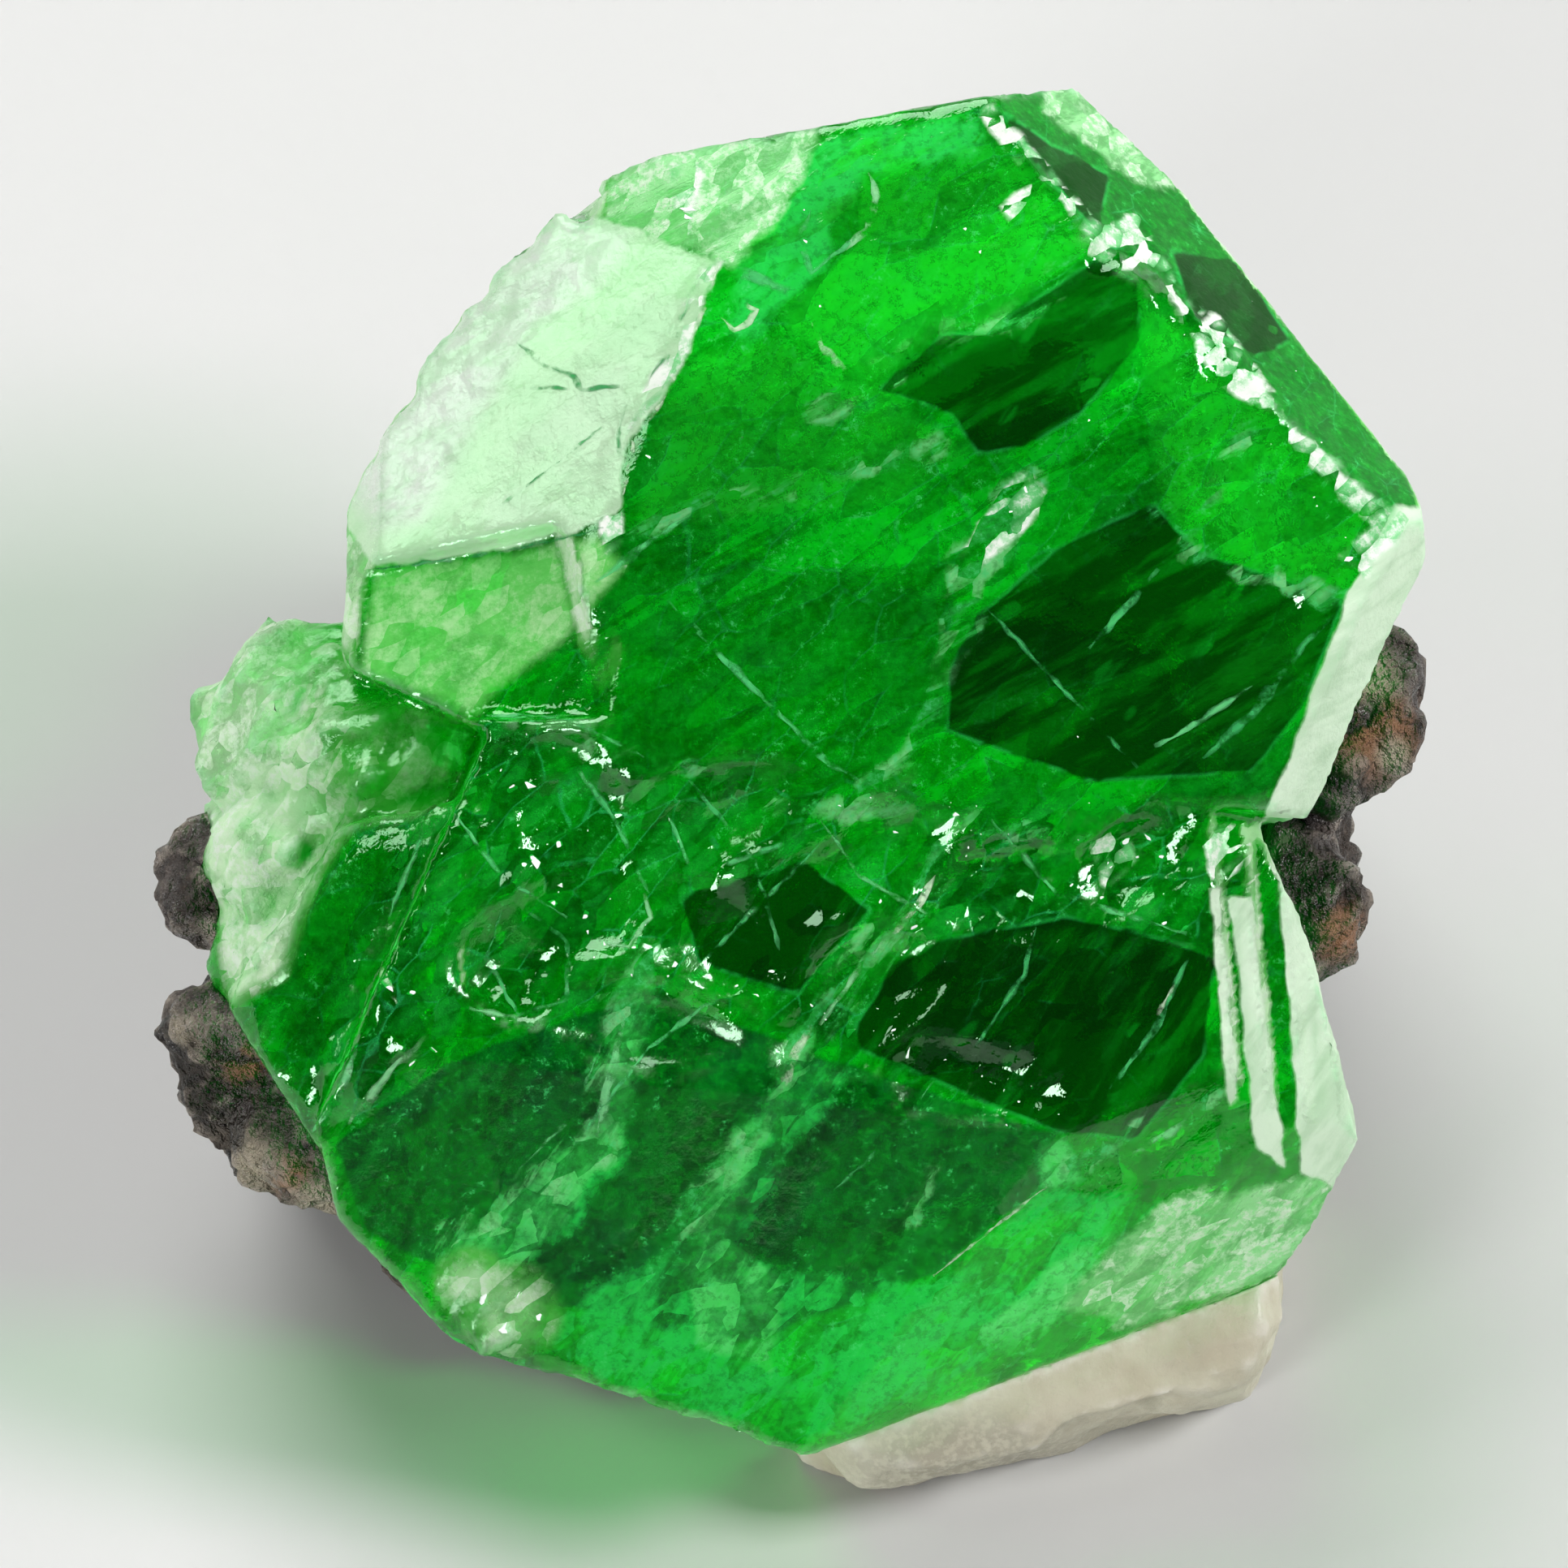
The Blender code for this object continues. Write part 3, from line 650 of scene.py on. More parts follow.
for name, outlines in (("clouds", CLOUDS), ("pale_clouds", PALE_CLOUDS)):
    paint(crystal.data, name, np.clip(any_of(show, outlines), -1, 1) * towards)
for name, outlines in (("mint", MINT), ("band", BAND)):
    paint(crystal.data, name, np.clip(any_of(show, outlines), -1, 1))
strips = np.clip(any_of(show, WHITE_STRIPS), -1, 1)
paint(crystal.data, "white_strip", np.where(facing[:, 2] > -0.2, strips, -1))
cloudy = smooth_between(outline_depth(show, *CLOUDY_FACE), -0.05, 0.2) * towards
paint(crystal.data, "cloudy", cloudy)
paint(crystal.data, "white_rim", white_rim)
paint(crystal.data, "ledge", np.clip(seam + 0.5 * crushed, 0, 1))
paint(crystal.data, "upper", smooth_between(show[:, 1], -2.5, 0.5))
left_rim = smooth_between(-facing[:, 0], 0.35, 0.7) * smooth_between(show[:, 1], 1.5, 3.0)
lobe_frost = lobe * (0.22 + 0.78 * smooth_between(-show[:, 0], 7.8, 9.7))
frosted = np.maximum.reduce((lobe_frost, left_rim * 0.8, to_right * 0.75, grain_spot * 0.7))
paint(crystal.data, "frost", frosted)
to_metres(crystal)

GARNET_IOR = 1.74
material, tree, glass = new_material("tsavorite")
for socket, value in (
    ("Transmission Weight", 0.62), ("IOR", GARNET_IOR),
    ("Specular IOR Level", 0.25), ("Specular Tint", (0.6, 1.0, 0.66, 1)),
):
    glass.inputs[socket].default_value = value
grain = use_group(tree, mineral_grain, Patch_scale=210.0, Blotch_scale=620.0, Grain_scale=3800.0)
wear = use_group(tree, edge_wear, Amount=0.5, Scale=1700.0)["Wear"]
spot = add(tree, "TexCoord").outputs["Object"]
upright = add(tree, "VectorRotate", {"Vector": spot, "Angle": -LEAN}, rotation_type="X_AXIS")


def part_of(share, mask):
    return times(tree, mask, share)


def more(value, factor, start):
    """value times factor, on top of start."""
    return number(tree, "MULTIPLY_ADD", value, factor, start)


def highest(value, *masks):
    """The highest of a value and of each (share, mask) pair."""
    for share, mask in masks:
        value = number(tree, "MAXIMUM", value, part_of(share, mask))
    return value


def sum_of(first, second):
    return add(tree, "VectorMath", {0: first, 1: second}, operation="ADD").outputs[0]


def scaled(vector, share):
    return add(tree, "VectorMath", {0: vector, "Scale": share}, operation="SCALE").outputs[0]


def drawn_out(turn, width, length, depth=0.0015):
    """Places for noise drawn out into streaks, turned right from straight up by some degrees."""
    return add(tree, "Mapping", {
        "Vector": upright.outputs["Vector"],
        "Rotation": (0.0, 0.0, math.radians(-turn)), "Scale": (width, length, depth),
    }, vector_type="TEXTURE").outputs["Vector"]


def soft_noise(place, scale, detail, roughness=0.5, distortion=0.0):
    return add(tree, "TexNoise", {
        "Vector": place, "Scale": scale, "Detail": detail,
        "Roughness": roughness, "Distortion": distortion,
    }).outputs["Fac"]


leaning = drawn_out(33, 0.0006, 0.0035)
low_streaks, high_streaks = (
    soft_noise(place, 1.0, 5.0, 0.62, 0.3) for place in (leaning, drawn_out(62, 0.00055, 0.0032))
)
streaks = add(tree, "Mix", {
    0: painted(tree, "upper"), 2: low_streaks, 3: high_streaks,
}, data_type="FLOAT").outputs[0]
streaks = between(tree, streaks, 0.42, 0.64)
ragged = more(soft_noise(spot, 1300.0, 4.0), 0.3, -0.15)
fine_grain = soft_noise(spot, 5200.0, 5.0, 0.75)
crowd = soft_noise(leaning, 1.6, 4.0)
crumple = add(tree, "TexNoise", {"Vector": spot, "Scale": 900.0, "Detail": 3.0}).outputs["Color"]
crumpled = sum_of(drawn_out(48, 0.0019, 0.0044, 0.003), scaled(crumple, 0.14))


def mosaic(scale):
    """Flat cells for inner cracks and painted reflections inside the stone: a tone for each cell and its
    random tilt.
    """
    cells = add(tree, "TexVoronoi", {"Vector": crumpled, "Scale": scale})
    tone = add(tree, "SeparateColor", {"Color": cells.outputs["Color"]}).outputs["Red"]
    tone = more(cells.outputs["Distance"], -0.45, tone)
    tilt = add(tree, "VectorMath", {
        0: cells.outputs["Color"], 1: (0.5, 0.5, 0.5),
    }, operation="SUBTRACT")
    return tone, tilt.outputs[0]


SHARD_SCALE = 2.9
patches, broad_tilt = mosaic(1.0)
shards, shard_tilt = mosaic(SHARD_SCALE)
slivers, sliver_tilt = mosaic(6.5)
borders = add(tree, "TexVoronoi", {
    "Vector": crumpled, "Scale": SHARD_SCALE,
}, feature="DISTANCE_TO_EDGE")
shard_lines = between(tree, borders.outputs["Distance"], 0.03, 0.01)


def zone(name, softness, torn=1.0):
    """A painted zone with a ragged border, more so where it is torn."""
    return between(tree, more(ragged, torn, painted(tree, name)), -softness, softness)


# The green of the body: lighter and darker cells and bright green zones as painted reflections inside it,
# darker in the ledge and in the band, and half dark patches and nearly black windows as painted shade.
ledge = painted(tree, "ledge")
band = zone("band", 0.08)
# Painted shade: the windows nearly black, broken by the streaks.
dark = part_of(zone("dark_window", 0.04), between(tree, streaks, 0.0, 1.0, 0.97, 0.8))
lit = number(tree, "SUBTRACT", 1.0, dark)
# Painted reflections inside the stone: each broad cell lighter or darker green.
colour = tinted(tree, between(tree, patches, -0.1, 0.8), (0.0, 0.46, 0.001), (0.001, 1.0, 0.006))
colour = layered(
    tree, colour,
    (part_of(0.4, grain["Patches"]), (0.0, 0.40, 0.003)),
    (part_of(0.5, between(tree, streaks, 0.35, 0.0)), (0.0, 0.20, 0.001)),
    (part_of(0.6, streaks), (0.004, 1.0, 0.03)),
    # painted light of the bright green zones
    (part_of(0.6, zone("bright_green", 0.2)), (0.02, 0.90, 0.03)),
    # painted shade of the half dark patches
    (part_of(0.6, zone("half_dark", 0.06)), (0.0, 0.24, 0.001)),
    (part_of(0.45, ledge), (0.0, 0.17, 0.004)),
    (part_of(more(ledge, 0.3, 0.5), between(tree, shards, 0.5, 0.0)), (0.0, 0.10, 0.001)),
    (part_of(more(ledge, 0.45, 0.2), between(tree, slivers, 0.3, 0.9)), (0.02, 0.80, 0.08)),
    (part_of(0.9, band), (0.001, 0.17, 0.012)),
    (dark, (0.0, 0.05, 0.0005)),
)

# Painted light: bright rims round the dark windows and gleams inside them; and fine cracks in the rest.
rims = number(tree, "ABSOLUTE", more(ragged, 0.3, painted(tree, "dark_window")))
rims = part_of(between(tree, rims, 0.07, 0.0), between(tree, crowd, 0.4, 0.6))
gleams = part_of(between(tree, slivers, 0.72, 0.8), between(tree, crowd, 0.45, 0.6))
cracks = part_of(part_of(shard_lines, more(ledge, 0.6, 0.4)), lit)
cracks = part_of(cracks, between(tree, crowd, 0.42, 0.62))
colour = layered(
    tree, colour,
    (part_of(0.6, rims), (0.03, 0.72, 0.12)),
    (part_of(dark, part_of(0.5, gleams)), (0.004, 0.40, 0.02)),
    (part_of(0.7, cracks), (0.04, 0.70, 0.2)),
)

# The dull bluish sheen across the lower block, a painted reflection on a rougher face, the milky clouds,
# and the veils between them.
# Painted reflection: dull bluish sheen over the lower block.
reflection_haze = zone("reflection_haze", 0.06, 1.2)
haze_reflection_tint = tinted(tree, between(tree, shards, 0.0, 0.9), (0.0, 0.04, 0.006), (0.001, 0.095, 0.018))
clouds, pale_clouds = zone("clouds", 0.15, 3.0), zone("pale_clouds", 0.1, 1.8)
mottle = more(streaks, 0.5, part_of(0.5, grain["Blotches"]))
mottle = more(between(tree, slivers, 0.2, 0.5), 0.35, mottle)
mottle = between(tree, mottle, 0.25, 0.95, 0.1, 1.0)
gaps = between(tree, more(slivers, 0.6, streaks), 0.25, 0.95, 0.05, 1.0)
veil = part_of(zone("veil", 0.10, 3.2), gaps)
crumbs = tinted(tree, between(tree, slivers, 0.1, 0.7), (0.02, 0.45, 0.06), (0.26, 0.84, 0.32))
colour = layered(
    tree, colour,
    (part_of(0.94, reflection_haze), haze_reflection_tint),
    (part_of(0.35, part_of(reflection_haze, between(tree, slivers, 0.6, 0.85))), (0.006, 0.26, 0.05)),
    (part_of(0.4, part_of(streaks, reflection_haze)), (0.01, 0.30, 0.055)),
    (part_of(mottle, clouds), (0.02, 0.72, 0.10)),
    (part_of(mottle, pale_clouds), (0.12, 0.86, 0.20)),
    (veil, crumbs),
)

# Fine grain: dark hollows, lighter crests and pale specks, all but in the dark windows.
specks = part_of(between(tree, fine_grain, 0.54, 0.68), between(tree, crowd, 0.48, 0.66))
specks = part_of(0.6, part_of(specks, lit))
flecks = part_of(0.6, part_of(veil, between(tree, fine_grain, 0.5, 0.62)))
colour = layered(
    tree, colour,
    (part_of(0.3, part_of(grain["Grain"], lit)), (0.003, 0.5, 0.025)),
    (part_of(between(tree, fine_grain, 0.52, 0.36, 0.0, 0.4), lit), (0.0, 0.10, 0.004)),
    (part_of(between(tree, fine_grain, 0.5, 0.72, 0.0, 0.35), lit), (0.006, 0.85, 0.04)),
    (number(tree, "MAXIMUM", specks, flecks), (0.10, 0.72, 0.26)),
)

# Etched skin: mint patches, partly a painted reflection and with painted sparkles, the cloudy face, and
# the frost of the lobe and of the rims, with painted sparkles in the thickest frost.
mint_zone = zone("mint", 0.15, 2.0)
mint = more(between(tree, slivers, 0.1, 0.6), 0.5, streaks)
mint = part_of(mint_zone, between(tree, mint, 0.1, 0.9, 0.45, 1.0))
# Painted highlights: small pale sparkles in the mint patches and the thickest frost.
painted_sparkles = part_of(between(tree, fine_grain, 0.42, 0.6), between(tree, slivers, -0.1, 0.5))
cloudy_face = painted(tree, "cloudy")
cloud = part_of(cloudy_face, between(tree, grain["Blotches"], 0.0, 1.0, 0.45, 0.95))
cloud_grains = part_of(cloud, between(tree, more(slivers, 0.4, fine_grain), 0.45, 0.95))
frost = painted(tree, "frost")
thin_frost = between(tree, more(slivers, 0.4, grain["Blotches"]), 0.1, 0.9, 0.45, 1.0)
thin_frost = part_of(between(tree, frost, 0.0, 0.25), thin_frost)
thick_frost = part_of(thin_frost, frost)
whiter = more(between(tree, slivers, 0.2, 0.6), 0.3, frost)
rime = tinted(tree, between(tree, whiter, 0.3, 1.1), (0.10, 0.54, 0.08), (0.70, 0.95, 0.62))
colour = layered(
    tree, colour,
    (mint, (0.36, 0.86, 0.36)),
    (part_of(mint, painted_sparkles), (0.85, 1.0, 0.80)),
    (cloud, (0.16, 0.76, 0.13)),
    (cloud_grains, (0.55, 0.97, 0.46)),
    (thin_frost, rime),
    (part_of(thick_frost, painted_sparkles), (0.90, 1.0, 0.86)),
)

# The pale upper left face and the strips on the right, etched and partly a painted reflection, the crushed
# edges, and the wear.
# Partly etched, partly a painted reflection: the upper left face and its rim near white.
pale = tinted(tree, painted(tree, "white_rim"), (0.72, 1.0, 0.68), (0.98, 1.0, 0.96))
pits = part_of(between(tree, fine_grain, 0.52, 0.62), grain["Patches"])
pale = layered(
    tree, pale,
    (part_of(0.35, streaks), (0.50, 0.88, 0.48)),
    (part_of(0.3, grain["Blotches"]), (0.48, 0.86, 0.48)),
    (part_of(0.3, pits), (0.40, 0.72, 0.38)),
)
pale_face, strip = zone("pale_face", 0.06, 1.5), zone("white_strip", 0.05)
# Partly etched, partly a painted reflection: the pale strips on the right.
etched_with_reflection = tinted(tree, part_of(0.6, streaks), (0.72, 0.88, 0.68), (0.42, 0.62, 0.40))
crushed = part_of(zone("crushed", 0.06, 1.4), between(tree, slivers, 0.05, 0.4))
shattered = more(between(tree, fine_grain, 0.4, 0.65), 0.4, slivers)
shattered = tinted(tree, between(tree, shattered, 0.3, 0.9), (0.16, 0.66, 0.22), (0.97, 1.0, 0.93))
wear = part_of(wear, more(ledge, -0.9, 1.0))
colour = layered(
    tree, colour,
    (pale_face, pale), (strip, etched_with_reflection), (crushed, shattered), (wear, (0.45, 0.90, 0.50)),
)
tree.links.new(colour, glass.inputs["Base Color"])

# Polish and relief: glassy where it is clear, tilted in flat bits in the ledge, sugary in frost.
frayed = part_of(part_of(ledge, lit), between(tree, shards, 0.1, 0.6))
rough = highest(
    between(tree, grain["Grain"], 0.0, 1.0, 0.02, 0.07), (0.5, thick_frost), (0.25, cloudy_face),
    (0.4, strip), (0.16, reflection_haze), (0.3, crushed), (0.3, mint), (0.4, band), (0.14, pale_face),
    (0.17, frayed),
)
tree.links.new(rough, glass.inputs["Roughness"])
broken = scaled(broad_tilt, 0.06)
broken = sum_of(broken, scaled(shard_tilt, more(ledge, 0.16, 0.06)))
broken = sum_of(broken, scaled(sliver_tilt, more(ledge, 0.26, 0.02)))
broken = sum_of(broken, add(tree, "NewGeometry").outputs["Normal"])
broken = add(tree, "VectorMath", {0: broken}, operation="NORMALIZE")
sugary = number(tree, "MAXIMUM", frost, mint)
relief = part_of(more(streaks, 0.4, grain["Relief"]), more(sugary, 0.6, 0.28))
bump = add(tree, "Bump", {
    "Height": more(part_of(1.3, sugary), fine_grain, relief),
    "Strength": 0.9, "Distance": 0.00003, "Normal": broken.outputs[0],
})
tree.links.new(bump.outputs["Normal"], glass.inputs["Normal"])

# A dull etched skin lies over the clear garnet, and light inside meets a plainer green glass.
skin = highest(
    part_of(0.75, strip), (0.55, frost), (0.35, pale_face), (0.6, crushed), (0.65, band),
    (0.45, mint_zone), (0.4, cloudy_face), (0.4, specks), (0.35, clouds), (0.4, pale_clouds),
    (0.22, veil),
)
etching = add(tree, "BsdfPrincipled", {
    "Base Color": colour, "Normal": bump.outputs["Normal"],
    "Roughness": 0.6, "Specular IOR Level": 0.2,
})
absorb = add(tree, "VolumeAbsorption", {"Color": (0.02, 0.96, 0.15, 1), "Density": 130.0})
lit_through = add(tree, "BsdfTransparent", {"Color": (0.2, 0.6, 0.3, 1)})
clear = add(tree, "BsdfGlass", {"Color": (0.25, 0.97, 0.3, 1), "Roughness": 0.0, "IOR": GARNET_IOR})
cloudy = add(tree, "BsdfDiffuse", {"Color": (0.002, 0.6, 0.008, 1)})
ray = add(tree, "LightPath").outputs


def mixed(share, first, second):
    """Two shaders mixed by share."""
    return add(tree, "MixShader", {0: share, 1: first.outputs[0], 2: second.outputs[0]})


seen = mixed(ray["Is Camera Ray"], mixed(0.38, clear, cloudy), mixed(skin, glass, etching))
shadow = mixed(ray["Is Shadow Ray"], seen, lit_through)
ends = tree.nodes["Material Output"]
tree.links.new(absorb.outputs["Volume"], ends.inputs["Volume"])
tree.links.new(shadow.outputs["Shader"], ends.inputs["Surface"])
crystal.data.materials.append(material)
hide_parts("tsavorite_crystal")
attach(crystal, "root")


# Healed fractures: thin sheets inside the crystal where a crack closed again around tiny fluid
# bubbles. Where they reach a face they show as pale green veils and hairlines, and here each is a
# narrow ribbon just over the face.
VEIN_STEP = 0.09         # mm
VEIN_LIFT = 0.015        # mm over the face
VEINS = (
    # width in mm, paleness, the line in the picture
    (0.34, 0.95, (962, 1345), (978, 1300), (1000, 1262)),
    (0.20, 0.90, (1100, 1150), (1130, 1115), (1152, 1078)),
    (0.18, 0.60, (1010, 1262), (1050, 1205), (1092, 1155)),
    (0.25, 0.55, (735, 1400), (752, 1330), (770, 1250)),
    (0.07, 0.80, (1150, 1572), (1220, 1515), (1292, 1458)),
    (0.14, 0.40, (820, 738), (900, 820), (980, 900), (1022, 942), (1080, 972)),
    (0.13, 0.30, (1215, 750), (1300, 840), (1400, 946)),
    (0.12, 0.45, (825, 1005), (838, 1035), (852, 1075)),
    (0.14, 0.30, (852, 1080), (900, 1062), (965, 1040), (1010, 1010)),
    (0.16, 0.45, (600, 882), (700, 886), (795, 932)),
    (0.12, 0.60, (795, 1100), (802, 1130), (775, 1165), (745, 1160)),
    (0.22, 0.60, (1070, 215), (1080, 245), (1068, 285), (1040, 310)),
    (0.16, 0.85, (888, 395), (905, 408), (925, 400), (932, 385), (918, 376)),
    (0.22, 0.40, (895, 330), (970, 362), (1010, 380)),
    (0.20, 0.70, (1000, 400), (1012, 430), (1045, 465)),
    (0.20, 0.45, (735, 720), (800, 670), (850, 635)),
    (0.16, 0.35, (1340, 800), (1385, 750), (1425, 702)),
    (0.22, 0.25, (1480, 935), (1540, 880), (1600, 800), (1640, 755)),
    (0.16, 0.50, (1420, 920), (1475, 890), (1540, 845)),
    (0.14, 0.30, (1200, 1290), (1260, 1200), (1275, 1140)),
    (0.14, 0.35, (1365, 1340), (1420, 1270), (1462, 1180)),
    (0.10, 0.95, (1424, 1250), (1446, 1212)),
    (0.16, 0.55, (1395, 1420), (1440, 1395), (1470, 1370)),
    (0.16, 0.40, (1060, 290), (1000, 340), (985, 300), (1000, 260)),
    (0.12, 0.30, (620, 1120), (600, 1180), (640, 1250), (700, 1230), (700, 1160), (650, 1120)),
    (0.16, 0.55, (580, 1240), (620, 1250), (660, 1262)),
    (0.20, 0.50, (380, 1400), (420, 1350), (440, 1290)),
    (0.16, 0.80, (470, 1190), (482, 1215), (492, 1235)),
    (0.20, 0.60, (430, 1385), (480, 1320), (530, 1275)),
    (0.16, 0.40, (480, 1130), (500, 1080), (525, 1020)),
    (0.12, 0.40, (700, 930), (760, 1010), (800, 1100)),
    (0.12, 0.40, (850, 960), (930, 1060), (960, 1170)),
    (0.10, 0.50, (1010, 1010), (1060, 1080), (1150, 1130)),
    (0.10, 0.45, (560, 1000), (620, 1080), (700, 1130)),
    (0.12, 0.35, (860, 1190), (930, 1120), (1010, 1040)),
    (0.12, 0.45, (1220, 1010), (1300, 1100), (1460, 1150)),
    (0.10, 0.40, (700, 1420), (800, 1290), (880, 1230)),
    (0.10, 0.50, (640, 1440), (700, 1380), (735, 1300)),
    (0.12, 0.40, (1010, 1480), (1100, 1400), (1150, 1330)),
    (0.14, 0.00, (637, 422), (672, 452), (708, 465), (718, 482), (765, 478)),
    (0.10, 0.00, (630, 460), (655, 478), (700, 480)),
    (0.13, 0.00, (462, 702), (540, 692), (620, 680), (705, 662), (745, 652)),
    (0.07, 0.20, (742, 528), (690, 570), (620, 622)),
    (0.14, 0.95, (884, 330), (870, 380), (848, 430)),
    (0.12, 0.90, (838, 452), (815, 500), (800, 520)),
    (0.12, 0.90, (782, 545), (772, 590), (768, 612)),
    (0.16, 0.60, (862, 340), (838, 400), (822, 452)),
    (0.10, 0.05, (846, 385), (828, 430), (800, 470)),
    (0.12, 0.05, (772, 500), (762, 540), (768, 580)),
)

fine_surface = BVHTree.FromPolygons(
    [Vector(p) for p in to_show(vertex_values(crystal.data, "co") * 1000)],
    [face.vertices for face in crystal.data.polygons],
)


OUT_IN_FRONT = 30        # mm, well before the show side


def front_of(u, v):
    """The point of the crystal's show side in front of a place in mm, and its outward direction."""
    hit, outward, _, _ = fine_surface.ray_cast(Vector((u, v, OUT_IN_FRONT)), Vector((0, 0, -1)))
    return hit, outward


def along(places, step):
    """Places in mm, a step apart, on the line through some places of the picture."""
    line = [Vector(on_show_side(*place)) for place in places]
    found = []
    for start, end in zip(line, line[1:]):
        count = max(1, round((end - start).length / step))
        found += [start.lerp(end, share / count) for share in range(count)]
    return found + [line[-1]]


def piece_from(name, points, faces, values):
    """A new piece from points of the show side in mm, with its painted values."""
    mesh = bpy.data.meshes.new(name)
    placed = from_show(np.array(points)) / 1000
    mesh.from_pydata(placed.tolist(), [], faces)
    for layer, amounts in values.items():
        paint(mesh, layer, amounts)
    mesh.update()
    piece = bpy.data.objects.new(name, mesh)
    bpy.context.scene.collection.objects.link(piece)
    return piece


points, faces, fade, paleness = [], [], [], []
for number_of_vein, (width, pale, *places) in enumerate(VEINS):
    path = along(places, VEIN_STEP)
    first = len(points)
    for i, place in enumerate(path):
        ahead = path[min(i + 1, len(path) - 1)] - path[max(i - 1, 0)]
        side = Vector((-ahead.y, ahead.x)).normalized()
        share = i / (len(path) - 1)
        swell = 0.75 + 0.5 * noise.noise(Vector((place.x * 2.1, place.y * 2.1, number_of_vein * 1.7)))
        half = width / 2 * swell * min(1, 0.35 + 3 * min(share, 1 - share))
        for across in (-1, -0.5, 0, 0.5, 1):
            wander = 0.06 * noise.noise(Vector((place.x * 4, place.y * 4, across + number_of_vein)))
            u, v = place + side * (across * half + wander)
            hit, _ = front_of(u, v)
            if hit is None:
                hit, _ = front_of(*place)
            w = hit.z + VEIN_LIFT if hit else points[-1][2]
            points.append((u, v, w))
            fade.append((1 - across * across * 0.9) * min(1, 8 * min(share, 1 - share) + 0.2))
            paleness.append(pale)
    for i in range(len(path) - 1):
        for j in range(4):
            corner = first + i * 5 + j
            faces.append((corner, corner + 1, corner + 6, corner + 5))
veins = piece_from("healed_fractures", points, faces, {"fade": fade, "paleness": paleness})

material, tree, veil = new_material("fracture_veil")
veil.inputs["Roughness"].default_value = 0.45
grain = use_group(tree, mineral_grain, Patch_scale=700.0, Blotch_scale=2200.0, Grain_scale=6000.0)
ramp = painted(tree, "paleness")
colour = tinted(tree, between(tree, ramp, 0.0, 0.5), (0.003, 0.28, 0.05), (0.08, 0.60, 0.17))
colour = layered(
    tree, colour,
    (between(tree, ramp, 0.4, 1.0), (0.80, 0.95, 0.70)),
    (times(tree, grain["Grain"], 0.35), (0.02, 0.35, 0.11)),
)
tree.links.new(colour, veil.inputs["Base Color"])
holes = number(tree, "MULTIPLY_ADD", grain["Blotches"], 0.6, times(tree, grain["Patches"], 0.4))
cover = times(tree, painted(tree, "fade"), between(tree, holes, 0.2, 0.8, 0.0, 0.85))
tree.links.new(cover, veil.inputs["Alpha"])
veins.data.materials.append(material)
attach(veins, "root")


# Glints and specks: white chips, most along the broken ledge, painted glints where its small facets catch
# the light, and black flakes of graphite caught in the faces. Each is a small angular chip set into the
# face.
GLINTS = (
    # picture place, size in mm, how much longer it is than wide
    (650, 905, 0.08, 1), (633, 972, 0.30, 1.2), (655, 968, 0.26, 1.6), (690, 1040, 0.24, 1),
    (661, 1060, 0.32, 1.8), (692, 1090, 0.22, 1), (682, 1112, 0.20, 1.5), (722, 1127, 0.20, 1.8),
    (725, 1148, 0.14, 1), (745, 1162, 0.14, 1.4), (783, 1166, 0.18, 1.5), (832, 1188, 0.22, 1.5),
    (952, 1196, 0.18, 1.6), (908, 1214, 0.14, 1), (932, 1225, 0.14, 1.8), (1000, 1238, 0.16, 1),
    (1016, 1255, 0.12, 1), (1048, 1270, 0.22, 1.8), (1100, 1268, 0.10, 2), (1118, 1297, 0.26, 2),
    (1164, 1305, 0.10, 1), (1210, 1325, 0.10, 1), (1303, 1371, 0.08, 1), (825, 1010, 0.12, 1),
    (836, 1036, 0.12, 1), (1176, 1005, 0.22, 1.4), (1170, 1032, 0.20, 1.8), (1190, 1054, 0.10, 1),
    (1103, 1025, 0.12, 1.6), (1326, 908, 0.08, 1), (1386, 1036, 0.30, 1.5), (1366, 1066, 0.24, 1),
    (1412, 1032, 0.16, 2.4), (1430, 1055, 0.18, 1.2), (1400, 1056, 0.12, 1), (1357, 1106, 0.14, 1.8),
    (1432, 1136, 0.16, 1.2), (1457, 1146, 0.20, 1.9), (1084, 1110, 0.12, 1.4), (1126, 1142, 0.16, 1.8),
    (1253, 248, 0.20, 1.6), (1240, 262, 0.18, 1.4), (1188, 285, 0.12, 1), (1208, 312, 0.16, 1.3),
    (848, 262, 0.22, 2.6), (848, 270, 0.16, 2), (1012, 180, 0.14, 1.2), (800, 565, 0.12, 1.8),
    (1372, 300, 0.22, 1.3), (1505, 430, 0.26, 1.8), (1528, 462, 0.24, 1.4), (1478, 405, 0.14, 2),
    (1262, 605, 0.20, 1.2), (1660, 690, 0.18, 2.2), (612, 1250, 0.22, 1.6), (482, 1212, 0.30, 2.2),
    (509, 1222, 0.16, 2), (536, 1292, 0.16, 2), (510, 1308, 0.14, 2.4), (1244, 632, 0.12, 1),
    (598, 1602, 0.34, 1.3), (640, 1596, 0.30, 1.2), (622, 1636, 0.36, 1.2), (664, 1624, 0.24, 1.4),
    (1010, 380, 0.10, 1), (992, 300, 0.12, 1.4), (990, 262, 0.10, 1), (1340, 520, 0.10, 1.2),
)
SPECKS = (
    (461, 886, 0.22, 1.3), (1075, 997, 0.16, 1.7), (925, 270, 0.06, 1), (779, 258, 0.07, 1),
    (1046, 421, 0.09, 1.3), (1140, 916, 0.05, 1), (824, 1681, 0.10, 1.8), (915, 541, 0.08, 1.6),
    (386, 828, 0.08, 1), (1530, 487, 0.09, 1.6), (947, 516, 0.05, 1), (1180, 1780, 0.05, 1),
)
SCATTERED_GLINTS = 60
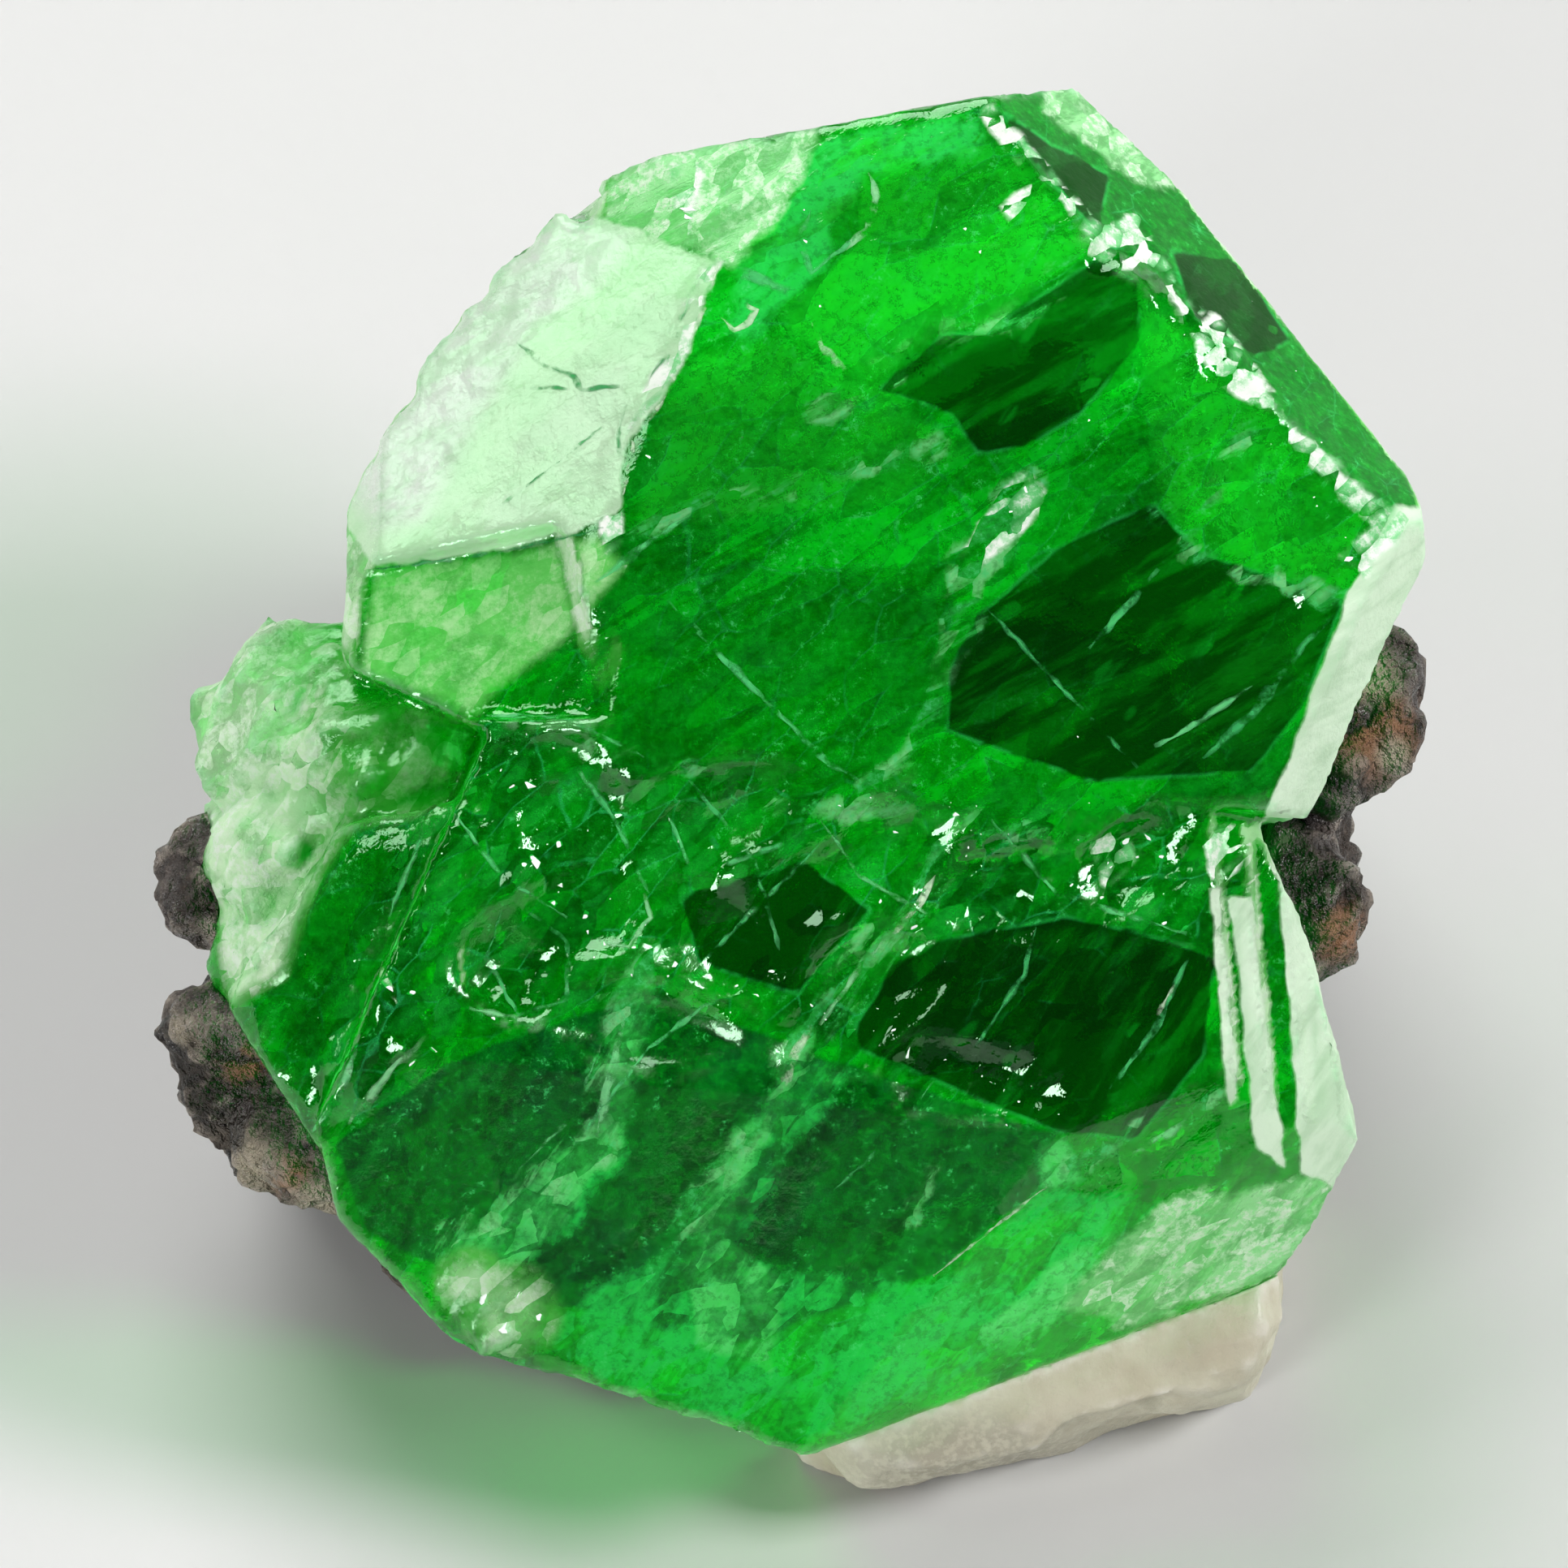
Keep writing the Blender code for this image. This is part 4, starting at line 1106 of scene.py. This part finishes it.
CHIP_SHARE = 0.65        # the chip is this much of the spot that it shows as in the picture


def chips_at(places, dice, sink):
    """Points and faces of small angular chips set into the show side at places of the picture."""
    points, faces = [], []
    for x, y, size, length in places:
        hit, outward = front_of(*on_show_side(x, y))
        if hit is None:
            continue
        size *= CHIP_SHARE
        chip = bmesh.new()
        turn = outward.to_track_quat("Z", "Y").to_matrix()
        turn = turn @ Matrix.Rotation(dice.uniform(0, math.pi), 3, "Z")
        for _ in range(9):
            way = Vector(dice.normal(size=3)).normalized() * size / 2
            way.x *= length
            way.z *= 0.3
            chip.verts.new(hit + turn @ way - outward * size * sink)
        hull = bmesh.ops.convex_hull(chip, input=chip.verts[:])
        loose = set(hull["geom_interior"]) | set(hull["geom_unused"])
        bmesh.ops.delete(chip, geom=[v for v in loose if isinstance(v, bmesh.types.BMVert)])
        chip.verts.index_update()
        first = len(points)
        points += [tuple(vert.co) for vert in chip.verts]
        faces += [[first + vert.index for vert in face.verts] for face in chip.faces]
        chip.free()
    return points, faces


dice = np.random.default_rng(19)
ledge_line = (along(((640, 900), (700, 1120), (840, 1190), (1010, 1240), (1160, 1305), (1300, 1370)), 0.08)
              + along(((1080, 990), (1200, 1010), (1330, 1040), (1440, 1080), (1470, 1150)), 0.08)
              + along(((1350, 300), (1420, 340), (1540, 480), (1680, 690)), 0.15))
scattered = []
for _ in range(SCATTERED_GLINTS):
    u, v = ledge_line[dice.integers(len(ledge_line))] + Vector(dice.normal(0, 0.42, 2))
    x, y = u / MM_PER_PIXEL + PICTURE_MIDDLE, PICTURE_MIDDLE - v / MM_PER_PIXEL
    scattered.append((x, y, dice.uniform(0.03, 0.09), dice.uniform(1, 2)))
points, faces = chips_at(GLINTS + tuple(scattered), dice, 0.05)
glints = piece_from("glint_chips", points, faces, {})
material, tree, sparkle = new_material("glint_white")
grain = use_group(tree, mineral_grain, Patch_scale=900.0, Blotch_scale=3000.0, Grain_scale=9000.0)
# Painted glints: near white, a little green in blotches.
colour = tinted(tree, times(tree, grain["Blotches"], 0.2), (1.0, 1.0, 1.0), (0.7, 0.97, 0.78))
tree.links.new(colour, sparkle.inputs["Base Color"])
tree.links.new(between(tree, grain["Grain"], 0.0, 1.0, 0.08, 0.25), sparkle.inputs["Roughness"])
glints.data.materials.append(material)
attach(glints, "root")

points, faces = chips_at(SPECKS, dice, 0.12)
plain = np.zeros(len(points))
flakes = piece_from("graphite_flakes", points, faces, {
    "edge": plain, "stain_and_shade": plain, "pale_crust": plain,
})
flakes.data.materials.append(bpy.data.materials["graphite_gneiss"])
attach(flakes, "root")


# Floor, light and camera: a plain pale floor under the specimen, soft square panels round it, and
# a camera square to the show side.
floor_mesh = bpy.data.meshes.new("floor")
floor_mesh.from_pydata([(-1, -1, 0), (1, -1, 0), (1, 1, 0), (-1, 1, 0)], [], [(0, 1, 2, 3)])
floor = bpy.data.objects.new("floor", floor_mesh)
bpy.context.scene.collection.objects.link(floor)
material, tree, paper = new_material("pale_floor")
speckle = add(tree, "TexNoise", {"Scale": 60.0, "Detail": 3.0}).outputs["Fac"]
colour = tinted(tree, speckle, (0.57, 0.57, 0.56), (0.61, 0.61, 0.60))
tree.links.new(colour, paper.inputs["Base Color"])
paper.inputs["Roughness"].default_value = 0.7
floor_mesh.materials.append(material)

world = bpy.data.worlds.new("studio")
world.use_nodes = True
room = world.node_tree.nodes["Background"].inputs
room["Color"].default_value = (1, 1, 1, 1)
room["Strength"].default_value = 0.02
bpy.context.scene.world = world

centre = Vector(MIDDLE) / 1000
PANEL_AWAY = 0.4         # m


def panel(name, direction, size, power, colour=(1, 1, 1)):
    """A soft square light in a direction of the show side, aimed at the specimen."""
    light = bpy.data.lights.new(name, "AREA")
    light.size = size
    light.energy = power
    light.color = colour
    lamp = bpy.data.objects.new(name, light)
    bpy.context.scene.collection.objects.link(lamp)
    outward = Vector(SHOW_AXES.T @ np.array(direction)).normalized()
    lamp.location = centre + outward * PANEL_AWAY
    lamp.rotation_euler = (-outward).to_track_quat("-Z", "Y").to_euler()
    lamp.visible_camera = False


panel("right_key", (0.78, 0.30, 0.55), 0.12, 1.5)
panel("back_panel", (-0.25, 0.93, 0.28), 0.25, 1.5)
panel("low_left_panel", (-0.66, -0.5, 0.56), 0.12, 1.0)
panel("left_panel", (-0.69, 0.36, 0.63), 0.08, 0.14)
panel("front_card", (-0.05, -0.78, 0.62), 0.2, 0.02, (0.7, 1.0, 0.9))

camera_data = bpy.data.cameras.new("camera")
camera = bpy.data.objects.new("camera", camera_data)
bpy.context.scene.collection.objects.link(camera)
CAMERA_AWAY = 0.45       # m
FRONT_FACES = 0.003      # m, how far the faces seen stand before the middle
SENSOR = 36              # mm
PICTURE_WIDTH = 2 * PICTURE_MIDDLE * MM_PER_PIXEL / 1000
outward = Vector(SHOW_AXES[2])
camera.location = centre + outward * CAMERA_AWAY
camera.rotation_euler = (-outward).to_track_quat("-Z", "Y").to_euler()
camera_data.sensor_width = SENSOR
camera_data.lens = SENSOR * (CAMERA_AWAY - FRONT_FACES) / PICTURE_WIDTH
camera_data.clip_start = 0.01
bpy.context.scene.camera = camera
bpy.context.scene.view_settings.view_transform = "Standard"
for setting, value in (
    ("max_bounces", 7), ("diffuse_bounces", 2), ("glossy_bounces", 3), ("transmission_bounces", 6),
    ("transparent_max_bounces", 10), ("caustics_refractive", False), ("caustics_reflective", False),
    ("sample_clamp_indirect", 1.5), ("adaptive_threshold", 0.05), ("adaptive_min_samples", 12),
):
    setattr(bpy.context.scene.cycles, setting, value)
